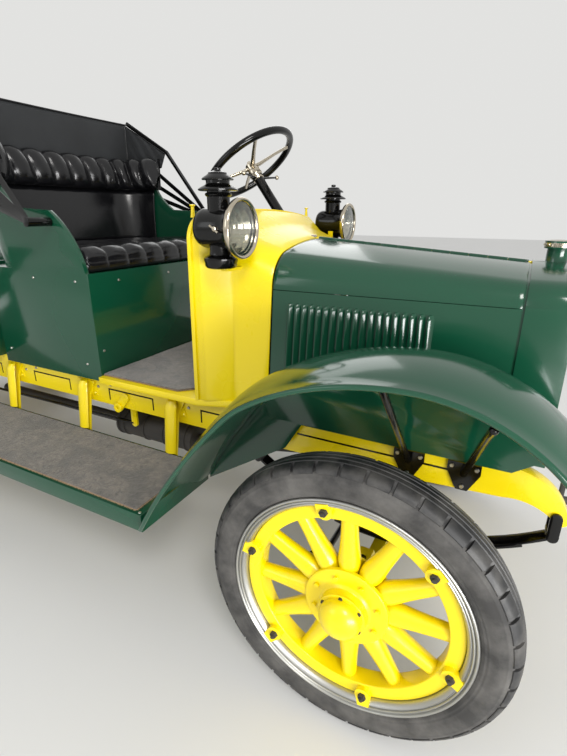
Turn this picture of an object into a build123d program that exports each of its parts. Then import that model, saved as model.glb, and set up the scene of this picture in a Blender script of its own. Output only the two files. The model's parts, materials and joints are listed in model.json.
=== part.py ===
from build123d import *

import os
from math import atan2, cos, degrees, hypot, radians, sin

# Light truck of about 1915: wooden wheels, louvred hood, open cab and a flareboard load bed.
# Millimetres, +X forward, +Y to the truck's left, +Z up, floor at Z 0, centre of length at X 0.
os.makedirs("parts", exist_ok=True)

# Driving dimensions
WHEELBASE = 3250
TRACK = 1422
FRONT_OVERHANG = 600
REAR_OVERHANG = 860
FRONT_X = (WHEELBASE + REAR_OVERHANG - FRONT_OVERHANG) / 2
REAR_X = FRONT_X - WHEELBASE
TAIL_X = REAR_X - REAR_OVERHANG
SEAT_GAP = 0.3
MOVE_GAP = 6
RUN_GAP = 0.05
SIDES = (("right", -1), ("left", 1))

# Wheels
TYRE_R = 432
TYRE_HALF_WIDTH = 59
RIM_SEAT_R = 319
RIM_LIP_R = 335
RIM_HALF_WIDTH = 46
RIM_LIP = 9
RIM_WALL = 5
FELLOE_OUTER_R = 307
FELLOE_INNER_R = 267
FELLOE_FRONT = 31
FELLOE_BACK = -24
SPOKES = 12
SPOKE_PHASE = 3
SPOKE_ROOT_APOTHEM = 110
SPOKE_ROOT_R = 27
SPOKE_TIP_R = 18
LUGS = 6
LUG_PHASE = 163.6
LUG_WIDTH = 34
LUG_THICK = 12
HUB_R = 60
HUB_FLANGE_R = 118
HUB_FLANGE = 7
HUB_BACK = -70
HUB_FRONT = 60
CAP_R = 50
CAP_TIP = 95
SPINDLE_R = 18
DRUM_R = 175
DRUM_DEPTH = 60
DRUM_WALL = 5

# Frame
RAIL_OUTER_Y = 400
RAIL_WIDTH = 45
RAIL_TOP_Z = 775
RAIL_DEPTH = 125
RAIL_END_DEPTH = 100
RAIL_WALL = 5
RAIL_TAPER_FRONT_X = FRONT_X - 100
RAIL_TAPER_REAR_X = FRONT_X - 3500
RAIL_REAR_X = TAIL_X + 20
RAIL_NOSE_START_X = FRONT_X + 330
RAIL_NOSE_X = FRONT_X + 500
RAIL_NOSE_Z = 640
SPRING_Y = RAIL_OUTER_Y - RAIL_WIDTH / 2

# Springs and axles
SPRING_WIDTH = 45
FRONT_SPRING_HALF = 470
REAR_SPRING_HALF = 600
FRONT_SPRING_RISE = 150
REAR_SPRING_RISE = 85
LEAF = 8
LEAVES = 5
FRONT_SEAT_Z = 400
REAR_SEAT_Z = 478
EYE_R = 17
SHACKLE = 8
KINGPIN_Y = 610
KINGPIN_R = 11
BEAM_HALF_X = 20
BEAM_DROP_Z = 345
BOSS_R = 24
BOSS_LOW_Z = 395
BOSS_HIGH_Z = 469
EAR = 20
STEER_ARM = 150
DRAG_ARM_Y = 430
AXLE_TUBE_R = 38
DIFF_R = 150

# Steering gear
WHEEL_AXIS_X = FRONT_X - 909
WHEEL_AXIS_Y = 300
WHEEL_AXIS_Z = 1636
COLUMN_RAKE = 36.7
STEERING_WHEEL_R = 225
STEERING_RIM_R = 14
COLUMN_R = 22
PITMAN_LENGTH = 200
PITMAN_Z = 738
LINK_R = 9

# Hood: half width at the shoulder, crown height and shoulder radius at each end
HOOD_REAR_X = FRONT_X - 430
HOOD_FRONT_X = FRONT_X + 295
SHOULDER_Z = 1196
HOOD_REAR = (359, 1342, 120)
HOOD_FRONT = (325, 1290, 70)
HOOD_BOTTOM_Z = 790
HOOD_SIDE_FLARE = 36
HOOD_SHEET = 3
HINGE_ROD_R = 4
LOUVRES = 19
LOUVRE_PITCH = 24
LOUVRE_FIRST_X = FRONT_X - 362
LOUVRE_TOP_Z = 1160
LOUVRE_BOTTOM_Z = 885
LOUVRE_WIDTH = 15
LOUVRE_RISE = 8

# Radiator
RADIATOR_BACK_X = HOOD_FRONT_X + MOVE_GAP
RADIATOR_FRONT_X = FRONT_X + 420
SHELL_PROUD = 4
SHELL_FACE = 42
SHELL_WALL = 6
CORE_RECESS = 22

# Cowl and cab
COWL_REAR_X = FRONT_X - 690
COWL_STRAIGHT = 40
COWL_MID_X = FRONT_X - 560
COWL_MID = (388, 1383, 100)
COWL_SHOULDER_MID_Z = 1262
COWL_REAR = (450, 1437, 70)
COWL_SHOULDER_REAR_Z = 1345
COWL_SHEET = 4
COWL_MID_FLARE = 28
COWL_SIDE_FLARE = 10
COWL_BEAD = 8
COWL_BEAD_WIDTH = 14
FLOOR_Z = 775
FLOOR_THICK = 25
SILL_OVERHANG = 6
MAT_THICK = 10
SEAT_FRONT_X = FRONT_X - 1180
SEAT_BOX_DEPTH = 620
SEAT_BOX_HALF = 450
SEAT_TOP_Z = 1208
SEAT_WALL = 18
SEAT_LEAN = 70
SEAT_FLARE = 25
SEAT_CORNER_R = 180
SEAT_BACK_TOP_Z = 1650
ARM_Z = 1436
CUSHION_THICK = 100
ROLL_LOW_Z = 1545
ROLL_HIGH_Z = 1700
ROLL_THICK = 72

# Folded top
PIVOT_X = FRONT_X - 1330
PIVOT_Z = 1395
TOP_HALF = 545
IRON_THICK = 6
IRON_WIDE = 22

# Load bed
BED_FRONT_X = FRONT_X - 1900
BED_HALF = 560
BED_FLOOR_Z = 800
BED_PLANK = 30
BED_SIDE_Z = 1120
BED_WALL = 20
FLARE_OUT = 165
FLARE_UP = 95
FLARE_THICK = 18
GATE_THICK = 18
GATE_INSET = 6
GATE_HINGE_Z = 826
GATE_ROD_R = 8
GATE_PIN_R = 5
GATE_PIN_DEPTH = 8
CROSS_SILLS = 6

# Fenders, steps and their irons
FENDER_OUTER_Y = 820
FENDER_CROWN = 30
FENDER_SHEET = 4
FRONT_CROWN_X = FRONT_X + 120
FRONT_CROWN_Z = 1105
FENDER_INNER_Y = 500
REAR_CROWN_Z = 985
BOARD_FRONT_X = FRONT_X - 670
BOARD_REAR_X = REAR_X + 665
BOARD_OUTER_Y = 800
BOARD_INNER_Y = 445
BOARD_TOP_Z = 527
BOARD_LOW_Z = 463
BOARD_SHEET = 4
BOARD_IRON_X = (FRONT_X - 846, FRONT_X - 1335, FRONT_X - 1830, FRONT_X - 2320)

# Lamps
LAMP_X = FRONT_X - 547
LAMP_Y = 460
LAMP_AXIS_Z = 1385
LENS_X = FRONT_X - 472
BEZEL_R = 89


def save(piece, name):
    """Label one finished piece and write it as its own STEP file."""
    piece.part.label = name
    export_step(piece.part, f"parts/{name}.step")


def tapered_bar(start, end, start_r, end_r, mode=Mode.ADD):
    """A round bar or a cone between two points, added to or cut from the part being built."""
    run = Vector(*end) - Vector(*start)
    standing = (Align.CENTER, Align.CENTER, Align.MIN)
    with Locations(Plane(origin=start, z_dir=run).location):
        if start_r == end_r:
            Cylinder(start_r, run.length, align=standing, mode=mode)
        else:
            Cone(start_r, end_r, run.length, align=standing, mode=mode)


def flat_bar(points, width, thickness, plane):
    """A flat bar with round ends whose centre line follows points drawn in a plane."""
    with BuildSketch(plane) as outline:
        for start, end in zip(points, points[1:]):
            length = hypot(end[0] - start[0], end[1] - start[1])
            middle = ((start[0] + end[0]) / 2, (start[1] + end[1]) / 2, 0)
            turn = degrees(atan2(end[1] - start[1], end[0] - start[0]))
            with Locations(Location(middle, (0, 0, turn))):
                SlotOverall(length + width, width)
    extrude(outline.sketch, amount=thickness / 2, both=True)


def box_between(low, high, mode=Mode.ADD):
    """A block given by its lowest and highest corners."""
    size = [b - a for a, b in zip(low, high)]
    with Locations(tuple((a + b) / 2 for a, b in zip(low, high))):
        Box(*size, mode=mode)


# Tyres and wheels
def wheel_plane(axle_x, side):
    """Plane at the tyre's middle, x outward along the axle and y out between two spokes."""
    turn = radians(SPOKE_PHASE + 180 / SPOKES)
    across = (side * sin(turn), 0, -side * cos(turn))
    return Plane(origin=(axle_x, side * TRACK / 2, TYRE_R), x_dir=(0, side, 0), z_dir=across)


def make_tyre(name, axle_x, side):
    plane = wheel_plane(axle_x, side)
    seat = RIM_SEAT_R + SEAT_GAP
    bead = RIM_HALF_WIDTH - SEAT_GAP
    shoulder = (TYRE_HALF_WIDTH - 9, TYRE_R - 18)
    with BuildPart() as tyre:
        with BuildSketch(plane):
            with BuildLine():
                Polyline((-bead, RIM_LIP_R + 1), (-bead, seat), (bead, seat), (bead, RIM_LIP_R + 1))
                ThreePointArc((bead, RIM_LIP_R + 1), (TYRE_HALF_WIDTH, TYRE_R - 52), shoulder)
                ThreePointArc(shoulder, (0, TYRE_R), (-shoulder[0], shoulder[1]))
                ThreePointArc(
                    (-shoulder[0], shoulder[1]), (-TYRE_HALF_WIDTH, TYRE_R - 52), (-bead, RIM_LIP_R + 1)
                )
            make_face()
        revolve(axis=Axis(plane.origin, plane.x_dir))
    save(tyre, name)


def make_wheels(end_name, axle_x, drum):
    """Left wheel of one axle, and the right wheel as its mirror image."""
    plane = wheel_plane(axle_x, 1)
    axle = Axis(plane.origin, plane.x_dir)
    cap_rise = CAP_TIP - HUB_FRONT - 8
    dome_r = (cap_rise**2 + CAP_R**2) / (2 * cap_rise)
    half_angle = atan2(CAP_R, dome_r - cap_rise) / 2
    cap_middle = (CAP_TIP - dome_r + dome_r * cos(half_angle), dome_r * sin(half_angle))
    with BuildPart() as wheel:
        # Hub barrel, flanges and cap in one turned profile
        with BuildSketch(plane):
            with BuildLine():
                Polyline(
                    (HUB_BACK, 0),
                    (HUB_BACK, HUB_R),
                    (-FELLOE_FRONT - HUB_FLANGE, HUB_R),
                    (-FELLOE_FRONT - HUB_FLANGE, HUB_FLANGE_R),
                    (-FELLOE_FRONT, HUB_FLANGE_R),
                    (-FELLOE_FRONT, HUB_R),
                    (FELLOE_FRONT, HUB_R),
                    (FELLOE_FRONT, HUB_FLANGE_R),
                    (FELLOE_FRONT + HUB_FLANGE - 2, HUB_FLANGE_R),
                    (FELLOE_FRONT + HUB_FLANGE, HUB_FLANGE_R - 2),
                    (FELLOE_FRONT + HUB_FLANGE, HUB_R + 5),
                    (HUB_FRONT, CAP_R + 2),
                    (HUB_FRONT + 8, CAP_R),
                )
                ThreePointArc((HUB_FRONT + 8, CAP_R), cap_middle, (CAP_TIP, 0))
                Line((CAP_TIP, 0), (HUB_BACK, 0))
            make_face()
        revolve(axis=axle)
        # Felloe with the back flange that the rim seats on
        with BuildSketch(plane):
            with BuildLine():
                Polyline(
                    (FELLOE_BACK, FELLOE_INNER_R),
                    (FELLOE_FRONT, FELLOE_INNER_R),
                    (FELLOE_FRONT, FELLOE_OUTER_R),
                    (FELLOE_BACK + 8, FELLOE_OUTER_R),
                    (FELLOE_BACK + 8, RIM_SEAT_R - RIM_WALL),
                    (FELLOE_BACK, RIM_SEAT_R - RIM_WALL),
                    close=True,
                )
            make_face()
        revolve(axis=axle)
        # Steel rim with its two lips
        with BuildSketch(plane):
            with BuildLine():
                Polyline(
                    (-RIM_HALF_WIDTH, RIM_SEAT_R),
                    (RIM_HALF_WIDTH, RIM_SEAT_R),
                    (RIM_HALF_WIDTH, RIM_LIP_R),
                    (RIM_HALF_WIDTH + RIM_LIP, RIM_LIP_R),
                    (RIM_HALF_WIDTH + RIM_LIP, RIM_LIP_R - RIM_LIP),
                    (RIM_HALF_WIDTH, RIM_SEAT_R - RIM_WALL),
                    (-RIM_HALF_WIDTH, RIM_SEAT_R - RIM_WALL),
                    (-RIM_HALF_WIDTH - RIM_LIP, RIM_LIP_R - RIM_LIP),
                    (-RIM_HALF_WIDTH - RIM_LIP, RIM_LIP_R),
                    (-RIM_HALF_WIDTH, RIM_LIP_R),
                    close=True,
                )
            make_face()
        revolve(axis=axle)
        # Mitred spoke roots between the flanges, then the spokes
        with BuildSketch(Plane(origin=plane.origin, x_dir=plane.y_dir, z_dir=plane.x_dir)):
            RegularPolygon(SPOKE_ROOT_APOTHEM, SPOKES, major_radius=False, rotation=180 / SPOKES)
        extrude(amount=FELLOE_FRONT, both=True)
        for i in range(SPOKES):
            turn = radians(SPOKE_PHASE + 360 / SPOKES * i)
            out = Vector(cos(turn), 0, sin(turn))
            start = plane.origin + out * (SPOKE_ROOT_APOTHEM - 6)
            end = plane.origin + out * (FELLOE_INNER_R + 6)
            tapered_bar(tuple(start), tuple(end), SPOKE_ROOT_R, SPOKE_TIP_R)
        for i in range(LUGS):
            turn = radians(LUG_PHASE + 360 / LUGS * i)
            out = Vector(cos(turn), 0, sin(turn))
            lug = Plane(
                origin=plane.origin + plane.x_dir * FELLOE_FRONT + out * (FELLOE_OUTER_R - 8),
                x_dir=out,
                z_dir=plane.x_dir,
            )
            with BuildSketch(lug):
                Rectangle(2 * (RIM_SEAT_R - RIM_WALL + 1 - FELLOE_OUTER_R + 8), LUG_WIDTH)
            extrude(amount=LUG_THICK)
        if drum:
            drum_face = 3 - FELLOE_FRONT - HUB_FLANGE
            with BuildSketch(plane):
                with BuildLine():
                    Polyline(
                        (drum_face, HUB_R - 5),
                        (drum_face, DRUM_R),
                        (-FELLOE_FRONT - DRUM_DEPTH, DRUM_R),
                        (-FELLOE_FRONT - DRUM_DEPTH, DRUM_R - DRUM_WALL),
                        (drum_face - DRUM_WALL, DRUM_R - DRUM_WALL),
                        (drum_face - DRUM_WALL, HUB_R - 5),
                        close=True,
                    )
                make_face()
            revolve(axis=axle)
        # Bearing bore for the spindle
        bore = Plane(origin=plane.origin + plane.x_dir * HUB_BACK, z_dir=plane.x_dir)
        with BuildSketch(bore):
            Circle(SPINDLE_R)
        extrude(amount=HUB_FRONT - HUB_BACK, mode=Mode.SUBTRACT)
    save(wheel, f"wheel_{end_name}_left")
    with BuildPart() as right_wheel:
        mirror(wheel.part, about=Plane.XZ)
    save(right_wheel, f"wheel_{end_name}_right")


for end_name, axle_x, has_drum in (("front", FRONT_X, False), ("rear", REAR_X, True)):
    make_wheels(end_name, axle_x, has_drum)
    for side_name, side in SIDES:
        make_tyre(f"tyre_{end_name}_{side_name}", axle_x, side)


# Frame rails: pressed channels open inwards, curved down to the front spring eyes
def rail_outline(inset, front_x):
    """Side outline of the straight channel part of a rail, drawn in X and Z."""
    low = RAIL_TOP_Z - RAIL_DEPTH + inset
    low_end = RAIL_TOP_Z - RAIL_END_DEPTH + inset
    Polyline(
        (RAIL_REAR_X, low_end),
        (RAIL_TAPER_REAR_X, low),
        (RAIL_TAPER_FRONT_X, low),
        (front_x, low_end),
        (front_x, RAIL_TOP_Z - inset),
        (RAIL_REAR_X, RAIL_TOP_Z - inset),
        close=True,
    )


PITMAN_X = WHEEL_AXIS_X + (WHEEL_AXIS_Z - PITMAN_Z) * sin(radians(COLUMN_RAKE)) / cos(radians(COLUMN_RAKE))
PITMAN_SHAFT_R = 14
right_outer = Plane.XZ.offset(RAIL_OUTER_Y)
with BuildPart() as frame_rails:
    with BuildSketch(right_outer):
        with BuildLine():
            rail_outline(0, RAIL_NOSE_START_X)
        make_face()
        with BuildLine():
            nose_low = RAIL_TOP_Z - RAIL_END_DEPTH
            TangentArc((RAIL_NOSE_START_X, RAIL_TOP_Z), (RAIL_NOSE_X, RAIL_NOSE_Z + 10), tangent=(1, 0))
            ThreePointArc(
                (RAIL_NOSE_X, RAIL_NOSE_Z + 10),
                (RAIL_NOSE_X - 15, RAIL_NOSE_Z - 12),
                (RAIL_NOSE_X - 36, RAIL_NOSE_Z),
            )
            ThreePointArc(
                (RAIL_NOSE_X - 36, RAIL_NOSE_Z),
                (RAIL_NOSE_X - 95, nose_low - 2),
                (RAIL_NOSE_START_X, nose_low),
            )
            Line((RAIL_NOSE_START_X, nose_low), (RAIL_NOSE_START_X, RAIL_TOP_Z))
        make_face()
    extrude(amount=-RAIL_WIDTH)
    with BuildSketch(Plane.XZ.offset(RAIL_OUTER_Y - RAIL_WALL)):
        with BuildLine():
            rail_outline(RAIL_WALL, RAIL_NOSE_START_X - RAIL_WALL)
        make_face()
    extrude(amount=-RAIL_WIDTH, mode=Mode.SUBTRACT)
    # Hangers under the rails for the four shackled spring ends
    for x in (FRONT_X - FRONT_SPRING_HALF, REAR_X + REAR_SPRING_HALF, REAR_X - REAR_SPRING_HALF):
        with BuildSketch(right_outer):
            with BuildLine():
                low = RAIL_TOP_Z - RAIL_DEPTH
                Polyline((x - 45, low + 30), (x + 45, low + 30), (x + 14, low - 22), (x - 14, low - 22), close=True)
            make_face()
        extrude(amount=-RAIL_WIDTH)
    mirror(about=Plane.XZ)
    # Hole in the left rail for the pitman shaft
    with Locations(Location((PITMAN_X, RAIL_OUTER_Y, PITMAN_Z), (90, 0, 0))):
        Cylinder(PITMAN_SHAFT_R + RUN_GAP, 2 * RAIL_WALL + 4, mode=Mode.SUBTRACT)
save(frame_rails, "frame_rails")

CROSS_X = (FRONT_X + 268, FRONT_X - 1010, FRONT_X - 1300, FRONT_X - 2200, REAR_X + 250, RAIL_REAR_X + 60)
CROSS_LOW_Z = 690
CROSS_HIGH_Z = 760
CROSS_HALF_Y = RAIL_OUTER_Y - RAIL_WALL
with BuildPart() as frame_crossmembers:
    for x in CROSS_X:
        with BuildSketch(Plane.XZ.offset(CROSS_HALF_Y)):
            with BuildLine():
                Polyline(
                    (x, CROSS_LOW_Z),
                    (x + 50, CROSS_LOW_Z),
                    (x + 50, CROSS_LOW_Z + 6),
                    (x + 6, CROSS_LOW_Z + 6),
                    (x + 6, CROSS_HIGH_Z - 6),
                    (x + 50, CROSS_HIGH_Z - 6),
                    (x + 50, CROSS_HIGH_Z),
                    (x, CROSS_HIGH_Z),
                    close=True,
                )
            make_face()
        extrude(amount=-2 * CROSS_HALF_Y)
save(frame_crossmembers, "frame_crossmembers")


# Leaf springs with their eyes and shackle plates
def leaf_spring(centre_x, half_length, seat_z, rise):
    """One right-hand spring pack of arched leaves; returns the height of its eyes."""
    inner_r = (half_length**2 + rise**2) / (2 * rise)
    top_z = seat_z + LEAVES * LEAF
    centre_z = top_z + inner_r
    full_angle = degrees(atan2(half_length, inner_r - rise))
    with BuildSketch(Plane.XZ.offset(SPRING_Y + SPRING_WIDTH / 2)) as pack:
        for i in range(LEAVES):
            angle = full_angle * (1 - 0.17 * i)
            near, far = inner_r + LEAF * i, inner_r + LEAF * (i + 1)
            spots = []
            for r, a in ((far, -angle), (far, 0), (far, angle), (near, angle), (near, 0), (near, -angle)):
                spots.append((centre_x + r * sin(radians(a)), centre_z - r * cos(radians(a))))
            with BuildLine():
                ThreePointArc(*spots[:3])
                Line(spots[2], spots[3])
                ThreePointArc(*spots[3:])
                Line(spots[5], spots[0])
            make_face()
    extrude(pack.sketch, amount=-SPRING_WIDTH)
    return top_z + rise


def spring_end(eye_x, eye_z, upper_x, upper_z):
    """Eye at the end of the main leaf, with two shackle plates up to the frame."""
    with BuildSketch(Plane.XZ.offset(SPRING_Y + SPRING_WIDTH / 2)) as eye:
        with Locations((eye_x, eye_z)):
            Circle(EYE_R)
    extrude(eye.sketch, amount=-SPRING_WIDTH)
    for offset in (SPRING_Y + SPRING_WIDTH / 2 + SHACKLE / 2, SPRING_Y - SPRING_WIDTH / 2 - SHACKLE / 2):
        flat_bar([(eye_x, eye_z), (upper_x, upper_z)], 30, SHACKLE, Plane.XZ.offset(offset))


HANGER_Z = RAIL_TOP_Z - RAIL_DEPTH - 8
NOSE_PIN = (RAIL_NOSE_X - 30, RAIL_NOSE_Z + 12)
with BuildPart() as leaf_springs:
    eye_z = leaf_spring(FRONT_X, FRONT_SPRING_HALF, FRONT_SEAT_Z, FRONT_SPRING_RISE)
    spring_end(FRONT_X + FRONT_SPRING_HALF, eye_z, *NOSE_PIN)
    spring_end(FRONT_X - FRONT_SPRING_HALF, eye_z, FRONT_X - FRONT_SPRING_HALF, HANGER_Z)
    eye_z = leaf_spring(REAR_X, REAR_SPRING_HALF, REAR_SEAT_Z, REAR_SPRING_RISE)
    for end in (-1, 1):
        eye_x = REAR_X + end * REAR_SPRING_HALF
        spring_end(eye_x, eye_z, eye_x, HANGER_Z)
    mirror(about=Plane.XZ)
save(leaf_springs, "leaf_springs")

# Front axle: a dropped beam with a fork at each end for the steering knuckle
with BuildPart() as front_axle:
    beam_back = Plane.YZ.offset(FRONT_X - BEAM_HALF_X)
    with BuildSketch(beam_back):
        with BuildLine():
            Polyline(
                (0, BEAM_DROP_Z),
                (450, BEAM_DROP_Z),
                (535, BOSS_LOW_Z - EAR),
                (KINGPIN_Y + BOSS_R, BOSS_LOW_Z - EAR),
                (KINGPIN_Y + BOSS_R, BOSS_LOW_Z - SEAT_GAP),
                (KINGPIN_Y - BOSS_R - 3, BOSS_LOW_Z - SEAT_GAP),
                (KINGPIN_Y - BOSS_R - 3, BOSS_HIGH_Z + SEAT_GAP),
                (KINGPIN_Y + BOSS_R, BOSS_HIGH_Z + SEAT_GAP),
                (KINGPIN_Y + BOSS_R, BOSS_HIGH_Z + EAR),
                (KINGPIN_Y - BOSS_R - 25, BOSS_HIGH_Z + EAR),
                (500, FRONT_SEAT_Z),
                (0, FRONT_SEAT_Z),
                close=True,
            )
        make_face()
    extrude(amount=2 * BEAM_HALF_X)
    with Locations((FRONT_X, KINGPIN_Y, (BOSS_LOW_Z + BOSS_HIGH_Z) / 2)):
        Cylinder(KINGPIN_R + RUN_GAP, 200, mode=Mode.SUBTRACT)
    # Forged flutes that make the beam an I section
    for side_x in (-1, 1):
        box_between(
            (FRONT_X + side_x * BEAM_HALF_X - 12, -1, BEAM_DROP_Z + 12),
            (FRONT_X + side_x * BEAM_HALF_X + 12, 330, FRONT_SEAT_Z - 12),
            Mode.SUBTRACT,
        )
    mirror(about=Plane.XZ)
save(front_axle, "front_axle")

# Rear axle: housing, brake backing plates and the torque tube to the gearbox
GEARBOX_REAR_X = FRONT_X - 960
with BuildPart() as rear_axle:
    housing = Plane(origin=(REAR_X, 0, TYRE_R), x_dir=(0, 1, 0), z_dir=(1, 0, 0))
    hub_back_y = TRACK / 2 + HUB_BACK
    plate_y = TRACK / 2 - FELLOE_FRONT - DRUM_DEPTH - MOVE_GAP
    with BuildSketch(housing):
        with BuildLine():
            Polyline(
                (0, 0),
                (hub_back_y + 122, 0),
                (hub_back_y + 122, SPINDLE_R - RUN_GAP),
                (hub_back_y - 2, SPINDLE_R - RUN_GAP),
                (hub_back_y - 2, AXLE_TUBE_R),
                (plate_y, AXLE_TUBE_R),
                (plate_y, DRUM_R - DRUM_WALL),
                (plate_y - 6, DRUM_R - DRUM_WALL),
                (plate_y - 6, AXLE_TUBE_R),
                (DIFF_R + 90, AXLE_TUBE_R),
                (DIFF_R - 30, 85),
                (0, 85),
                close=True,
            )
        make_face()
    revolve(axis=Axis((REAR_X, 0, TYRE_R), (0, 1, 0)))
    # Spring pads on the tubes
    box_between(
        (REAR_X - 45, SPRING_Y - 30, TYRE_R + AXLE_TUBE_R - 20),
        (REAR_X + 45, SPRING_Y + 30, REAR_SEAT_Z),
    )
    # Brake rod lever
    box_between((REAR_X - 8, 322, TYRE_R + 20), (REAR_X + 8, 338, TYRE_R + 95))
    mirror(about=Plane.XZ)
    with Locations((REAR_X, 0, TYRE_R)):
        Sphere(DIFF_R)
    tapered_bar((REAR_X + 60, 0, TYRE_R), (REAR_X + 330, 0, TYRE_R + 24), 95, 52)
    tapered_bar((REAR_X + 280, 0, TYRE_R + 19), (GEARBOX_REAR_X, 0, 640), 38, 38)
save(rear_axle, "rear_axle")

# Engine as one plain block with its gearbox, bearer arms and the starting crank
CRANK_Z = 655
CRANK_ARM = 170
with BuildPart() as engine:
    with BuildSketch(Plane.XY.offset(600)):
        with Locations((FRONT_X - 80, 0)):
            RectangleRounded(560, 250, 40)
    extrude(amount=500)
    with BuildSketch(Plane.YZ.offset(FRONT_X - 345)):
        with Locations((0, 670)):
            RectangleRounded(230, 180, 40)
    extrude(amount=GEARBOX_REAR_X + 40 - (FRONT_X - 345))
    for x in (FRONT_X - 355, FRONT_X + 120):
        box_between((x, -CROSS_HALF_Y, 700), (x + 45, CROSS_HALF_Y, 735))
    with BuildSketch(Plane.YZ.offset(FRONT_X + 200.3)):
        with Locations((0, CRANK_Z)):
            Circle(11)
    extrude(amount=330)
    flat_bar([(0, CRANK_Z), (0, CRANK_Z - CRANK_ARM)], 32, 14, Plane.YZ.offset(FRONT_X + 525))
    tapered_bar(
        (FRONT_X + 525, 0, CRANK_Z - CRANK_ARM), (FRONT_X + FRONT_OVERHANG, 0, CRANK_Z - CRANK_ARM), 14, 14
    )
save(engine, "engine")


# Hood outline: a crown arc that runs into a round shoulder on each side
def crown_points(half_width, crown_z, shoulder_r, shoulder_z, inset):
    """Top centre, tangent point and shoulder point of one half, with the arcs' middle points."""
    centre_y = half_width - shoulder_r
    rise = crown_z - shoulder_z
    crown_r = (centre_y**2 + rise**2 - shoulder_r**2) / (2 * (rise - shoulder_r))
    crown_centre_z = crown_z - crown_r
    lean = atan2(centre_y, shoulder_z - crown_centre_z)
    big = crown_r - inset
    small = shoulder_r - inset

    def on_crown(angle):
        return (big * sin(angle), crown_centre_z + big * cos(angle))

    def on_shoulder(angle):
        return (centre_y + small * sin(angle), shoulder_z + small * cos(angle))

    quarter = radians(90)
    return {
        "top": on_crown(0),
        "crown_middle": on_crown(lean / 2),
        "tangent": on_crown(lean),
        "shoulder_middle": on_shoulder((lean + quarter) / 2),
        "shoulder": on_shoulder(quarter),
        "crown_centre_z": crown_centre_z,
        "crown_r": crown_r,
    }


def flip(point):
    return (-point[0], point[1])


def arch_face(plane, section, shoulder_z, bottom, inset):
    """Full arch from one bottom corner over the crown to the other, closed along the bottom."""
    with BuildSketch(plane) as arch:
        with BuildLine():
            half = crown_points(*section, shoulder_z, inset)
            foot = (bottom[0] - inset, bottom[1])
            Line(foot, half["shoulder"])
            ThreePointArc(half["shoulder"], half["shoulder_middle"], half["tangent"])
            ThreePointArc(half["tangent"], half["top"], flip(half["tangent"]))
            ThreePointArc(flip(half["tangent"]), flip(half["shoulder_middle"]), flip(half["shoulder"]))
            Line(flip(half["shoulder"]), flip(foot))
            Line(flip(foot), foot)
        make_face()
    return arch.sketch.face()


# Radiator shell and core, standing on the rails behind the front cross member
hood_front_foot = (HOOD_FRONT[0] + HOOD_SIDE_FLARE, HOOD_BOTTOM_Z)
shell_foot = (HOOD_FRONT[0] + HOOD_SIDE_FLARE + SHELL_PROUD, RAIL_TOP_Z)
SHELL_SECTION = (HOOD_FRONT[0] + SHELL_PROUD, HOOD_FRONT[1] + SHELL_PROUD, HOOD_FRONT[2] + SHELL_PROUD)
RADIATOR_DEPTH = RADIATOR_FRONT_X - RADIATOR_BACK_X
WINDOW_TOP_Z = SHELL_SECTION[1] - 95
WINDOW_LOW_Z = RAIL_TOP_Z + 45
WINDOW_HALF = SHELL_SECTION[0] - SHELL_FACE
with BuildPart() as radiator_shell:
    extrude(
        arch_face(Plane.YZ.offset(RADIATOR_BACK_X), SHELL_SECTION, SHOULDER_Z, shell_foot, 0),
        amount=RADIATOR_DEPTH,
    )
    # Room for the core, open to the back below the top tank
    box_between(
        (RADIATOR_BACK_X - 1, -WINDOW_HALF - 12, WINDOW_LOW_Z - 12),
        (RADIATOR_FRONT_X - CORE_RECESS, WINDOW_HALF + 12, WINDOW_TOP_Z + 12),
        Mode.SUBTRACT,
    )
    with BuildSketch(Plane.YZ.offset(RADIATOR_FRONT_X)):
        with Locations((0, (WINDOW_LOW_Z + WINDOW_TOP_Z) / 2)):
            RectangleRounded(2 * WINDOW_HALF, WINDOW_TOP_Z - WINDOW_LOW_Z, 40)
    extrude(amount=-CORE_RECESS - 1, mode=Mode.SUBTRACT)
    # Filler neck and cap
    with Locations((FRONT_X + 365, 0, SHELL_SECTION[1] + 18)):
        Cylinder(30, 50)
    with Locations((FRONT_X + 365, 0, SHELL_SECTION[1] + 50)):
        Cylinder(40, 22)
save(radiator_shell, "radiator_shell")

with BuildPart() as radiator_core:
    box_between(
        (RADIATOR_BACK_X + 10, -WINDOW_HALF - 12 + SEAT_GAP, WINDOW_LOW_Z - 12 + SEAT_GAP),
        (RADIATOR_FRONT_X - CORE_RECESS - SEAT_GAP, WINDOW_HALF + 12 - SEAT_GAP, WINDOW_TOP_Z + 12 - SEAT_GAP),
    )
save(radiator_core, "radiator_core")

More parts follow.
